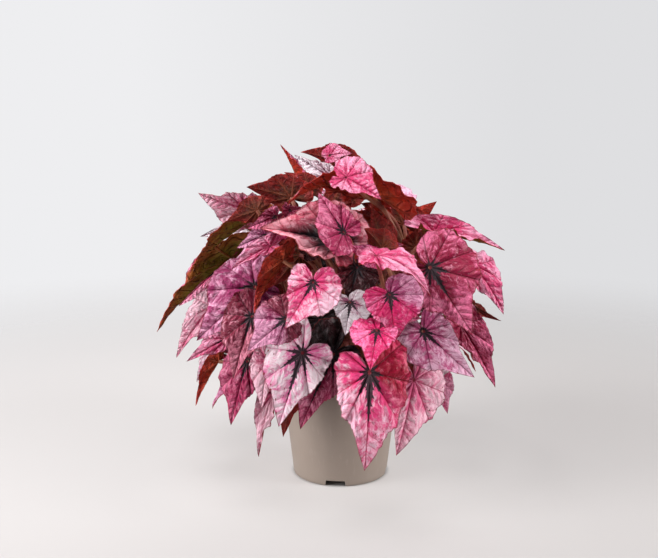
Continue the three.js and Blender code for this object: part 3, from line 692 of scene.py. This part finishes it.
def wanted_leaves():
    leaves = []
    for i, row in enumerate(FRONT):
        numbers = [float(value) for value in row[:12]]
        at = seen(*numbers[:3])
        face = unit(EYE - at)
        leaf = leaf_from(at, seen(*numbers[3:6]), face, numbers[6:])
        leaves.append({**leaf, "away": face, "phase": i * 1.7, "id": i})
    stream = dice(FAR["seed"])

    def spread(size):
        return (next(stream) - 0.5) * 2 * size

    for row, (count, start, end) in enumerate(TIERS):
        for i in range(count):
            share = (i + (0.3 if row % 2 else 0.7)) / count
            angle = math.radians(FAR["from"] + (FAR["to"] - FAR["from"]) * share + spread(FAR["angle"]))
            squeeze = 1 - FAR["flatter"] * math.cos(angle) ** 2
            outward = compass(angle)
            aim = angle + math.radians(spread(FAR["aim"]))
            at = outward * (start[0] * squeeze + spread(FAR["radius"]))
            at[2] = start[1] + spread(FAR["height"])
            tip = at + compass(aim) * (end[0] - start[0]) * squeeze
            tip[2] = end[1] + spread(FAR["height"])
            shape = [spread(16), 0.95 + spread(0.12), 1 if next(stream) < 0.5 else -1]
            shape += [30 + spread(14), spread(10), -12 + spread(10)]
            leaf = leaf_from(at, tip, unit(outward + UP * 0.5), shape)
            number = 100 + len(leaves) - len(FRONT)
            leaves.append({**leaf, "away": outward, "phase": next(stream) * 6, "id": number})
    return leaves


# %% The shape of a blade
def margin(leaf, angle):
    """How far the margin is from the stalk's end, at an angle from the midrib in degrees."""
    away = np.abs(angle)
    bulge = BLADE["belly"] * np.exp(-(((away - BLADE["belly_at"]) / BLADE["belly_wide"]) ** 2))
    pointed = BLADE["body"] + (1 - BLADE["body"]) * np.exp(-away / BLADE["spike"]) + bulge
    closing = (np.maximum(0, away - BLADE["shoulder"]) / (180 - BLADE["shoulder"])) ** 2.4
    small = np.where(np.sign(angle) == leaf["big"], 1, 1 - (1 - BLADE["small"]) * np.minimum(1, away / 50))
    return pointed * small * leaf["length"] * (1 - closing) + BLADE["notch"] * closing


def true_angle(leaf, angle):
    """The notch lies off the midrib's line, so angles on the larger side open wider."""
    return np.radians(angle * (1 + np.where(np.sign(angle) == leaf["big"], 1, -1) * BLADE["skew"] / 180))


def wave(leaf, angle, share):
    calm_tip = 1 - np.exp(-((angle / 22) ** 2))
    return 0.035 * leaf["length"] * share**2 * calm_tip * np.sin(np.radians(angle * 5) + leaf["phase"])


def bent(leaf, along, across, height):
    """Arches, folds and rolls points of the flat blade into place. Height is above its middle."""
    reach = np.abs(across) * leaf["wide"]
    curl = leaf["roll"] / (BLADE["body"] * leaf["length"] * leaf["wide"])
    tilt = leaf["fold"] + curl * reach
    if abs(curl) > 1e-9:
        y = (np.sin(tilt) - math.sin(leaf["fold"])) / curl
        z = (math.cos(leaf["fold"]) - np.cos(tilt)) / curl
    else:
        y, z = reach * math.cos(leaf["fold"]), reach * math.sin(leaf["fold"])
    y = y - height * np.sin(tilt)
    z = z + height * np.cos(tilt)
    bow = leaf["droop"] / leaf["length"] * np.where(along < 0, BLADE["lobe_droop"], 1)
    turned_by = bow * along
    x = np.sin(turned_by) / bow + z * np.sin(turned_by)
    up = (np.cos(turned_by) - 1) / bow + z * np.cos(turned_by)
    place = np.multiply.outer(x, leaf["along"]) + np.multiply.outer(np.sign(across) * y, leaf["side"])
    return leaf["at"] + place + np.multiply.outer(up, leaf["lift"])


# %% Finding the leaves in the solids
SLIDE_STEP, SLIDES = 3, 21
CLOSE = 0.05
corners, owners = [], []
for name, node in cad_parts.items():
    if name.startswith("shoot"):
        points = np.empty(len(node.data.vertices) * 3)
        node.data.vertices.foreach_get("co", points)
        corners.append(np.unique((points.reshape(-1, 3) / MM).round(4), axis=0))
        owners += [name] * len(corners[-1])
corners = np.concatenate(corners)
tree = KDTree(len(corners))
for i, corner in enumerate(corners):
    tree.insert(corner, i)
tree.balance()


def settle(leaf):
    """Slides a leaf in the solid model's steps until both corners of its tip are found there."""
    reach = margin(leaf, np.zeros(2))
    tip = bent(leaf, reach, np.zeros(2), np.array([0.5, -0.5]) * BLADE["thick"])
    for step in range(SLIDES):
        slide = leaf["away"] * step * SLIDE_STEP
        hits = [tree.find(corner + slide) for corner in tip]
        if max(far for _, _, far in hits) < CLOSE:
            return {**leaf, "at": leaf["at"] + slide, "node": owners[hits[0][1]]}
    return None


leaves = [leaf for leaf in map(settle, wanted_leaves()) if leaf]
print("leaves found in the solids:", len(leaves), "of", len(wanted_leaves()))

# %% Finding the stalks in the solids
THIN_STALK = 1.9
TIP_FOOT = (6.2 * 0.8, 14)  # radius and depth of the foot of a rhizome tip
# the ways that the solid model tries for a stalk
ENDINGS = [(0.32, 0.45), (0.16, 0.45), (0.35, 1.2), (0.45, 0), (0.2, -0.3)]
SIDES = [0, 0.12, -0.12, 0.25, -0.25, 0.4, -0.4]
SWAYS = [(*ending, rise, side) for ending in ENDINGS for rise in (0.3, 0.5, 0.12, 0.7) for side in SIDES]


def spots_of_tips():
    for count, radius, turn in RINGS:
        for i in range(count):
            yield compass(math.radians(turn + 360 * i / count)) * radius + UP * SOIL["top"]


def standing_roots():
    """Which solid stands in which hole, told by a corner of the foot of its rhizome tip."""
    for spot in spots_of_tips():
        _, i, far = tree.find(spot + np.array([0, -TIP_FOOT[0], -TIP_FOOT[1]]))
        if far < CLOSE:
            yield owners[i], spot


def stalk_curve(leaf, root, sway):
    """The four handles of the curve that a stalk follows, from the rhizome tip to the blade."""
    reach, along, rise, aside = sway
    start = root - UP
    end = leaf["at"] - leaf["lift"] * BLADE["thick"] / 2
    span = end - start
    length = np.linalg.norm(span)
    outward = span / length
    arrive = unit(leaf["along"] * along + outward * 0.6 + leaf["lift"] * 0.5)
    arrive = unit(arrive + leaf["lift"] * max(0, 0.65 - arrive.dot(leaf["lift"])))
    across = unit(np.array([-span[1], span[0], 0]))
    first = start + UP * length * rise + outward * length * 0.12 + across * aside * length
    second = end - arrive * length * reach + across * aside * length * 0.5
    return np.array([start, first, second, end])


def on_curve(handles, t):
    """A point of the curve and its direction there."""
    weights = np.array([(1 - t) ** 3, 3 * t * (1 - t) ** 2, 3 * t * t * (1 - t), t**3])
    slopes = np.array([-((1 - t) ** 2), (1 - t) * (1 - 3 * t), t * (2 - 3 * t), t * t])
    return weights @ handles, unit(slopes @ handles)


def stalk_corners(leaf, handles):
    """Corners of the thin square stalk of the solid model, at three places on the way."""
    first = leaf["along"]
    for t in (1, 0.75, 0.5, 0.25):
        middle, tangent = on_curve(handles, t)
        first = unit(first - tangent * first.dot(tangent))
        second = np.cross(tangent, first)
        if t < 1:
            for i in range(4):
                angle = math.pi / 2 * (i + 0.5)
                yield middle + (first * math.cos(angle) + second * math.sin(angle)) * THIN_STALK


def way_of_stalk(leaf, root):
    def hits(sway):
        points = stalk_corners(leaf, stalk_curve(leaf, root, sway))
        return sum(tree.find(point)[2] < CLOSE for point in points)

    best = max(SWAYS, key=hits)
    return stalk_curve(leaf, root, best), hits(best)


roots = dict(sorted(standing_roots()))
sure = []
for leaf in leaves:
    leaf["stalk"], hits = way_of_stalk(leaf, roots[leaf["node"]])
    sure.append(hits)
print("stalk corners found, of 12 each: least", min(sure), "mean", round(sum(sure) / len(sure), 1))
print("solids with leaves:", {name: sum(leaf["node"] == name for leaf in leaves) for name in roots})

# %% [markdown]
# ## The blades
#
# A rex leaf is puckered: tissue between the veins arches up in quilts, and the margin has small
# teeth. A subdivided outline could be displaced by a texture, but then relief and veins would not
# meet. Here a net of spokes and rings spreads from the stalk's end. Two numbers, the ray and the
# share of the way to the margin, drive the relief now and the painted pattern later.

# %% The net of a blade
RAY = 36  # degrees from one main vein to the next
NETS = {"large": (100, 27), "small": (80, 18)}  # spokes and rings
SMALL_BLADE = 80
EDGE_THICK, MIDDLE_THICK = 0.5, 0.8
TIP_CALM = 22  # degrees from the midrib within which the margin stays smooth
# heights in blade lengths
RELIEF = {"pillow": 0.05, "quilt": 0.017, "groove": -0.01, "frill": 0.028, "crumple": 0.009}
MARGIN_CUT = {"lobes": 0.028, "teeth": 0.02, "tip": 14}


def relief(leaf, angle, share, far):
    """Height of the puckered blade above its smooth form, in millimetres."""
    length, own = leaf["length"], leaf["phase"]
    ray = angle / RAY
    aside = ray - np.round(ray)
    reach = far * share
    across, ahead = np.abs(reach * np.sin(np.radians(aside * RAY))), reach * np.cos(np.radians(aside * RAY))
    pillow = RELIEF["pillow"] * share * (1 - 0.5 * share) * (1 - np.cos(2 * math.pi * aside)) / 2
    side_vein = (ahead - 0.9 * across) / (0.105 * length) + own
    quilt = RELIEF["quilt"] * (np.abs(np.sin(math.pi * side_vein)) ** 0.7 - 0.6)
    quilt = quilt * np.minimum(1, across / (0.05 * length))
    groove = RELIEF["groove"] * np.exp(-((across / (0.014 * length)) ** 2)) * np.minimum(1, share * 4)
    frill = RELIEF["frill"] * share**5 * np.sin(ray * 2 * math.pi * 1.5 + own * 2.3)
    frill = frill * (1 - np.exp(-((angle / TIP_CALM) ** 2)))
    u, v = reach * np.cos(np.radians(angle)) / length, reach * np.sin(np.radians(angle)) / length
    crumple = RELIEF["crumple"] * np.sin(29 * u + 3 * np.sin(15 * v + own))
    crumple = crumple * np.sin(25 * v + 2 * np.sin(13 * u + 2 * own))
    return length * (pillow + (quilt + crumple) * np.minimum(1, share * 3) + groove + frill)


def blade_net(leaf):
    """Points and faces of a blade, with the numbers that the painted pattern reads at each."""
    spokes, rings = NETS["small" if leaf["length"] < SMALL_BLADE else "large"]
    even = np.arange(spokes) / spokes * 2 - 1
    angle = 180 * np.sign(even) * np.abs(even) ** 1.25
    ray = angle / RAY
    past_tip = 1 - np.exp(-((angle / MARGIN_CUT["tip"]) ** 2))
    lobes = MARGIN_CUT["lobes"] * np.cos(2 * math.pi * ray) * past_tip
    teeth = MARGIN_CUT["teeth"] * np.where(np.arange(spokes) % 2, -1, 1) * past_tip
    teeth = teeth * (0.6 + 0.4 * np.sin(angle * 0.7 + leaf["phase"]))
    share, spoke = np.meshgrid(np.arange(1, rings + 1) / rings, np.arange(spokes), indexing="ij")
    far = margin(leaf, angle)[spoke]
    reach = far * share * (1 + (lobes + teeth)[spoke] * share**3)
    turned_to = true_angle(leaf, angle)[spoke]
    height = wave(leaf, angle[spoke], share) + relief(leaf, angle[spoke], share, far)
    half = (MIDDLE_THICK + (EDGE_THICK - MIDDLE_THICK) * share**2) / 2
    flat_net = (reach * np.cos(turned_to), reach * np.sin(turned_to), height, half)
    along, across, height, half = (np.append(0, values) for values in flat_net)
    count = len(along)

    def corners(first_ring, last_ring, steps):
        """Ring and spoke of the corners of faces that start on every spoke of some rings."""
        ring, start = np.meshgrid(np.arange(first_ring, last_ring + 1), np.arange(spokes), indexing="ij")
        grid = [np.stack([part + step[i] for step in steps], -1) for i, part in enumerate((ring, start))]
        return [part.reshape(-1, len(steps)) for part in grid]

    fans = corners(0, 0, [(0, 0.5), (1, 0), (1, 1)])  # ring 0 is the stalk's end, half way between two spokes
    quads = corners(1, rings - 1, [(0, 0), (1, 0), (1, 1), (0, 1)])
    edges = corners(rings, rings, [(0, 0), (0, 0), (0, 1), (0, 1)])
    kinds = [fans, quads, *([part[:, ::-1] for part in kind] for kind in (fans, quads)), edges]
    rays = np.append(ray, 5.0)
    faces, pattern, flat_place = [], [], []
    for (ring, on), lower in zip(kinds, (0, 0, 1, 1, np.array([0, 1, 1, 0]))):
        points = np.where(ring == 0, 0, 1 + (ring - 1) * spokes + np.floor(on).astype(int) % spokes)
        faces += (points + lower * count).tolist()
        ray_here = (rays[np.floor(on).astype(int)] + rays[np.ceil(on).astype(int)]) / 2
        pattern.append(np.stack([ray_here, ring / rings], -1).reshape(-1, 2))
        flat_place.append(np.stack([along[points], across[points]], -1).reshape(-1, 2) / leaf["length"])
    upper_faces = len(fans[0]) + len(quads[0])
    return {"points": np.concatenate([bent(leaf, along, across, height + side * half) for side in (1, -1)]),
            "faces": faces, "slots": [0] * upper_faces + [1] * (len(faces) - upper_faces),
            "pattern": np.concatenate(pattern), "flat": np.concatenate(flat_place),
            "share": np.tile(np.append(0, share), 2), "ray": np.tile(np.append(0, ray[spoke]), 2)}


trial = blade_net(leaves[0])
print("a large blade has", len(trial["faces"]), "faces and", len(trial["points"]), "points")

# %% [markdown]
# ## The colours
#
# Silver, lilac and pink lie over deep red, most of all away from the veins. A near-black star
# follows the main veins out from the stalk's end. Undersides are maroon, rust or olive. No two
# leaves match. A finish for each would be long, so each leaf's colours and the reach of its star are
# painted on the mesh as attributes, and one finish reads them for all.

# %% What each leaf is painted with
TONES = {  # pale colour, deep colour and share of the deep one
    "silver": (230, 208, 216, 222, 104, 158, 0.32),
    "frost": (234, 220, 228, 176, 92, 126, 0.26),
    "lilac": (234, 182, 208, 184, 72, 122, 0.4),
    "pale": (240, 190, 206, 214, 92, 134, 0.34),
    "rose": (246, 196, 216, 220, 60, 120, 0.45),
    "pink": (240, 158, 190, 206, 60, 111, 0.44),
    "hot": (240, 132, 180, 206, 30, 98, 0.52),
    "berry": (222, 118, 154, 160, 34, 80, 0.5),
    "crimson": (236, 118, 160, 138, 14, 54, 0.52),
    "mauve": (226, 154, 188, 154, 48, 98, 0.44),
    "plum": (214, 124, 148, 116, 24, 50, 0.52),
    "ruby": (222, 48, 100, 150, 4, 42, 0.54),
    "salmon": (248, 170, 184, 214, 82, 108, 0.4),
    # painted shade: a near-black tone for leaves deep in the shade of others and for lobes and stalk ends
    # that lie in it
    "dusk": (66, 16, 26, 26, 4, 8, 0.55),
    # painted shade: a dark red for leaves and lobes that lie in the shade of others
    "wine": (116, 20, 38, 56, 4, 14, 0.6),
}
TONES = {name: np.array([*paint(*row[:3]), *paint(*row[3:6]), row[6]]) for name, row in TONES.items()}
BACKS = {
    "maroon": paint(88, 16, 16), "rust": paint(196, 52, 28), "olive": paint(140, 122, 36),
    "brown": paint(112, 48, 40), "chestnut": paint(114, 24, 18), "grey": paint(118, 100, 92),
}
FAR_TONES = ["silver", "lilac", "pink", "hot", "mauve", "pale", "pink", "crimson"]
FAR_BACKS = ["maroon", "chestnut", "maroon", "rust"]
PLACES = {  # where a second tone lies, by ray and share of the way to the margin
    "+": lambda ray, share: soft_step(ray, 0.7, 1.8),
    "^": lambda ray, share: soft_step(np.abs(ray), 0.9, 2.4),
    "*": lambda ray, share: soft_step(share, 0.95, 0.4),
}


def soft_step(value, low, high):
    share = np.clip((value - low) / (high - low), 0, 1)
    return share * share * (3 - 2 * share)


def tone_of_points(tone, net):
    """Pale colour, deep colour and share of the deep one for each point of a blade."""
    mark = next((sign for sign in PLACES if sign in tone), None)
    first, *others = [TONES[name] for name in tone.split(mark)]
    values = np.tile(first, (len(net["points"]), 1))
    for other in others:
        here = PLACES[mark](net["ray"], net["share"])[:, None]
        values = values * (1 - here) + other * here
    return values[:, :4], values[:, 4:8], values[:, 8]


def painted(leaf, net):
    """Colours of a leaf's points: pale, deep, back, and star, share of deep colour and a chance number."""
    number = leaf["id"]
    chance = (number * 0.618034) % 1
    if number < len(FRONT):
        tone, star, back = [*FRONT[number][12:], "maroon"][:3]
    else:
        tone, star = FAR_TONES[int(chance * 97) % len(FAR_TONES)], 0.3 + 0.2 * chance
        back = FAR_BACKS[int(chance * 61) % len(FAR_BACKS)]
    pale, deep, share_deep = tone_of_points(tone, net)
    deeper = share_deep + 0.16 * (0.5 - net["share"]) + 0.1 * np.sin(net["ray"] * 1.3 + number)
    # painted shade: more deep colour towards the lobes, which the leaves above shade
    deeper = deeper + 0.1 * soft_step(np.abs(net["ray"]), 1.5, 4)
    same = np.ones(len(net["points"]))
    mood = np.stack([same * float(star), deeper, same * chance, same], axis=-1)
    return {"pale": pale, "deep": deep, "back": np.tile(BACKS[back], (len(same), 1)), "mood": mood}


print("tones:", len(TONES), "backs:", len(BACKS))

# %% Finish of the upper face
SIDE_VEINS = 0.115  # from one side vein to the next, in blade lengths


def blade_readings(finish, loose):
    """Where a point lies on its blade, in rays, shares and blade lengths, and how its leaf is painted."""
    flat = finish.node("ShaderNodeUVMap", {"uv_map": "flat"})
    flat_x, flat_y, _ = finish.apart(flat)
    ray, share, _ = finish.apart(finish.node("ShaderNodeUVMap", {"uv_map": "pattern"}))
    reach = finish.length(flat)
    vein = ray.maths("ROUND")
    across = abs(reach * ((ray - vein) * math.radians(RAY)).maths("SINE"))
    star, deeper, chance = finish.apart(finish.attribute("mood"))
    shift = chance * 37
    drift = finish.cloud(flat_x * 7 + shift, flat_y * 7, shift, 3.0, out=1)
    jitter, sway = (part - 0.5 for part in finish.apart(drift)[:2])
    side_vein = (reach - across * 0.8 + jitter * loose) / SIDE_VEINS
    return flat_x, flat_y, ray, share, reach, vein, across, star, deeper, shift, jitter, sway, side_vein


def triangle_wave(value):
    """0 at whole numbers and 1 half way between them."""
    return 1 - abs(value.maths("FRACT") * 2 - 1)


top = Finish("leaf_upper")
readings = blade_readings(top, 0.08)
fx, fy, ray, share, reach, vein, across, star, deeper, shift, jitter, sway, side_vein = readings
pale, deep = top.attribute("pale"), top.attribute("deep")
between = abs(ray - vein) * 2
near_vein = 1 - between * between
# streaks along the rays, feathered along the side veins, with flecks
broad = top.cloud(fx * 4 + shift, fy * 4, shift * 2, 2.0)
feather = top.cloud(side_vein * 1.7 + shift, across * 8, vein * 3.7 + shift, 3.0, 0.62)
rayed = top.cloud((ray + sway * 1.4) * 4.2 + shift, reach * 5 + jitter, shift, 4.0, 0.66)
streak = rayed + (feather - rayed) * near_vein * 0.7
fleck = top.cloud(ray * 8 + shift, reach * 15 + sway * 3, shift, 3.0, 0.7)
flush = top.step(across, 0.07, 0.0) * top.step(share, 0.9, 0.1)
depth = streak * 1.05 + fleck * 0.5 + broad * 0.5 + deeper * 0.9 + flush * 0.16
skin = top.blend(top.step(depth, 1.22, 1.58), pale, deep)
# pale silvery streaks: the leaf's own silver, with a painted sheen laid on it
silver_and_sheen = top.blend(0.3, pale, paint(250, 232, 240))
skin = top.blend(top.step(streak * 0.9 + rayed * 0.7, 0.76, 0.56) * 0.4, skin, silver_and_sheen)
# thin veins
net_line = top.step(triangle_wave(side_vein + sway * 0.4), 0.22, 0.0) * top.step(across, 0.006, 0.03)
skin = top.blend(net_line * near_vein * 0.55, skin, deep, "MULTIPLY")
main_line = top.step(across + jitter * 0.004, 0.01, 0.003)
skin = top.blend(main_line * 0.5, skin, deep, "MULTIPLY")
# the near-black star, with spurs on its arms, a red point at its hub and a dark line at the margin
arm = star * (0.26 + (abs(vein) * -0.8).maths("EXPONENT") * 0.94)
left_of_arm = 1 - reach / (arm + 0.001)
spur = top.step(triangle_wave((reach - across * 1.3 + jitter * 0.05) / 0.085 + 0.3), 0.5, 1.0)
ink_width = left_of_arm * (0.044 + spur * 0.036) * (1.3 - abs(vein) * 0.2) + jitter * 0.022
ink = top.step(ink_width - across, -0.003, 0.005) * top.step(left_of_arm, 0.0, 0.06)
ink = ink.maths("MAXIMUM", top.step(reach + jitter * 0.04, 0.08, 0.055)) * top.step(star, 0.02, 0.1)
skin = top.blend(ink * 0.97, skin, top.blend(fleck, paint(22, 14, 20), paint(62, 50, 58)))
skin = top.coats(skin, (top.step(reach, 0.03, 0.014), (128, 26, 42)),
                 (top.step(share, 0.972, 0.992) * 0.75, (120, 40, 40)))
# relief too fine for the net
pebble = top.cloud(fx * 46 + shift, fy * 46, shift, 2.0)
quilted = triangle_wave(side_vein + sway * 0.3).maths("POWER", 0.6) * top.step(across, 0.0, 0.05) * near_vein
crinkle = 1 - abs(top.cloud(side_vein * 1.3 + shift, across * 14 + sway * 3, ray, 1.5) * 2 - 1)
top_bump = quilted * 0.9 + crinkle * 0.7 + streak * 1.2 + pebble * 0.15 + main_line * -0.8
top_rough = 0.3 + pebble * 0.14 + ink * 0.12
upper_finish = top.finished(skin, top_rough, top_bump, 0.0021, 0.9, Specular_IOR_Level=0.26)

# %% Finish of the underside
low = Finish("leaf_under")
fx, fy, ray, share, _, _, across, _, _, shift, jitter, sway, side_vein = blade_readings(low, 0.1)
mottled = low.cloud(fx * 6 + shift, fy * 6, shift, 4.0, 0.6)
crinkle = low.cloud(side_vein * 1.5 + shift, across * 16, ray, 3.0, 0.6)
fine = low.cloud(fx * 40, fy * 40, shift, 3.0)
net_line = low.step(triangle_wave(side_vein + sway * 0.4), 0.24, 0.0) * low.step(across, 0.006, 0.03)
main_line = low.step(across + jitter * 0.004, 0.014, 0.005)
olive = low.step(across, 0.11, 0.0) * low.step(share, 1.0, 0.3)
back = low.coats(
    low.attribute("back"),
    (low.step(mottled, 0.42, 0.68) * 0.5, (140, 36, 26)), (olive * 0.28, (120, 92, 42)),
    (low.step(share, 0.45, 0.95) * 0.6, (158, 32, 26)), (low.step(crinkle, 0.45, 0.72) * 0.5, (64, 14, 16)),
    (net_line * 0.5, (46, 10, 12)), (main_line * 0.5, (160, 64, 46)),
    (low.step(share, 0.95, 1.0) * 0.6, (176, 40, 34)))
low_bump = main_line * 1.4 + net_line * 0.8 + crinkle * 1.6 + fine * 0.3
under_finish = low.finished(back, 0.44 + fine * 0.14, low_bump, 0.0018, 0.9, Specular_IOR_Level=0.24)

# %% One piece of blades for each solid
def blades_piece(name, own):
    nets = [blade_net(leaf) for leaf in own]
    paints = [painted(leaf, net) for leaf, net in zip(own, nets)]
    starts = np.cumsum([0] + [len(net["points"]) for net in nets])
    faces = [tuple(start + k for k in face) for start, net in zip(starts, nets) for face in net["faces"]]
    slots = [slot for net in nets for slot in net["slots"]]
    points = np.concatenate([net["points"] for net in nets])
    made = mesh_object(name, points, faces, [upper_finish, under_finish], slots, smooth_below=60)
    for layer in ("pattern", "flat"):
        values = np.concatenate([net[layer] for net in nets]).astype(np.float32)
        made.data.uv_layers.new(name=layer).data.foreach_set("uv", values.ravel())
    for label in ("pale", "deep", "back", "mood"):
        values = np.concatenate([part[label] for part in paints]).astype(np.float32)
        made.data.attributes.new(label, "FLOAT_COLOR", "POINT").data.foreach_set("color", values.ravel())
    return made


for name in roots:
    own = [leaf for leaf in leaves if leaf["node"] == name]
    belongs(blades_piece(name.replace("shoot", "blades"), own), "leaf", name)

# %% [markdown]
# ## Stalks and rhizome tips
#
# The stalks are round, fleshy and set with short reddish hairs. Each follows a curve from its
# rhizome tip to the blade. Geometry Nodes turn the curves into tubes that taper towards the blade
# and scatter the hairs over them, which is a rule that would be tedious by hand.

# %% Finish of the stalks
flesh = Finish("stalk_flesh")
flesh_place = flesh.object_place()
flesh_soft = flesh.noise(flesh_place, 60.0, 3.0)
flesh_fine = flesh.noise(flesh_place, 900.0, 2.0)
flesh_tone = flesh.coats(paint(128, 44, 44), (flesh.step(flesh_soft, 0.35, 0.65), (150, 92, 66)),
                         (flesh.step(flesh_fine, 0.6, 0.75) * 0.5, (196, 140, 112)))
stalk_finish = flesh.finished(flesh_tone, 0.42 + flesh_soft * 0.16, flesh_fine, 0.0003, 0.5)

# %% Stalks
STALK = {"Sides": 10, "Thickness": 0.0021, "Hairs": 52000.0, "Hair length": 0.0026, "Seed": 11}
STALK_POINTS = 20
bed = Bench("stalks", **STALK)
lines = bed.node("GeometryNodeMeshToCurve", {}, {0: bed.start})
taper = bed.node("GeometryNodeInputNamedAttribute", {"data_type": "FLOAT"}, {"Name": "taper"})
circle = bed.node("GeometryNodeCurvePrimitiveCircle", {}, {
    "Resolution": bed.start.other("Sides"), "Radius": bed.start.other("Thickness")})
tubes = bed.node("GeometryNodeCurveToMesh", {}, {0: lines, 1: circle, "Scale": taper, "Fill Caps": True})
hair_spots = bed.node("GeometryNodeDistributePointsOnFaces", {}, {
    0: tubes, "Density": bed.start.other("Hairs"), "Seed": bed.start.other("Seed")})
hair = bed.node("GeometryNodeMeshCone", {}, {
    "Vertices": 3, "Radius Top": 0.00002, "Radius Bottom": 0.00016, "Depth": bed.start.other("Hair length")})
hair_way = bed.node("FunctionNodeRotateRotation", {"rotation_space": "LOCAL"}, {
    0: hair_spots.other("Rotation"), 1: bed.chance((-0.5, -0.5, 0.0), (0.5, 0.5, 6.0))})
hairs = bed.node("GeometryNodeInstanceOnPoints", {}, {
    "Points": hair_spots, "Instance": hair, "Rotation": hair_way})
bed.finish(bed.node("GeometryNodeJoinGeometry", {}, {0: [tubes, hairs]}), stalk_finish)

ways = [i / STALK_POINTS for i in range(STALK_POINTS + 1)]
line_points = [on_curve(leaf["stalk"], t)[0] for leaf in leaves for t in ways]
line_edges = [(i, i + 1) for i in range(len(line_points) - 1) if (i + 1) % len(ways)]
line_mesh = bpy.data.meshes.new("stalks")
line_mesh.from_pydata((np.array(line_points) * MM).tolist(), line_edges, [])
tapers = [1.25 - 0.35 * t + 0.12 * max(0, t - 0.9) * 10 for t in ways] * len(leaves)
line_mesh.attributes.new("taper", "FLOAT", "POINT").data.foreach_set("value", tapers)
stalks = bpy.data.objects.new("stalks", line_mesh)
scene.collection.objects.link(stalks)
bed.grow(stalks)
stalks.data.shade_smooth()
belongs(stalks, "leaf", *roots)

# %% Rhizome tips
TIP_SECTION = [(0, -14), (5, -14), (6.2, -7), (6.4, -2), (6, 1), (5.2, 3.4), (3.6, 5.6), (1.8, 6.8), (0, 7.2)]
TIP_SIDES = 18


def rhizome_tip(i, spot):
    """A section turned about the axis, with shallow knobs where it stands out of the soil."""
    points, faces = turned(TIP_SECTION, TIP_SIDES)
    x, y, z = np.array(points, float).T
    knobs = np.where(z > -1, 1 + 0.07 * np.sin(z * 2.1 + i) * np.cos(3 * np.arctan2(y, x) + i), 1)
    return np.stack([x * knobs, y * knobs, z], -1) + spot, faces


tips = gathered(rhizome_tip(i, spot) for i, spot in enumerate(roots.values()))
belongs(mesh_object("rhizome_tips", *tips, [stalk_finish]), "leaf", *roots)

# %% Last boxes, of the solids and of the dressed scene
boxes = [[list(corner) for corner in box] for box in (cad_box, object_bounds())]
print("boxes:", boxes)
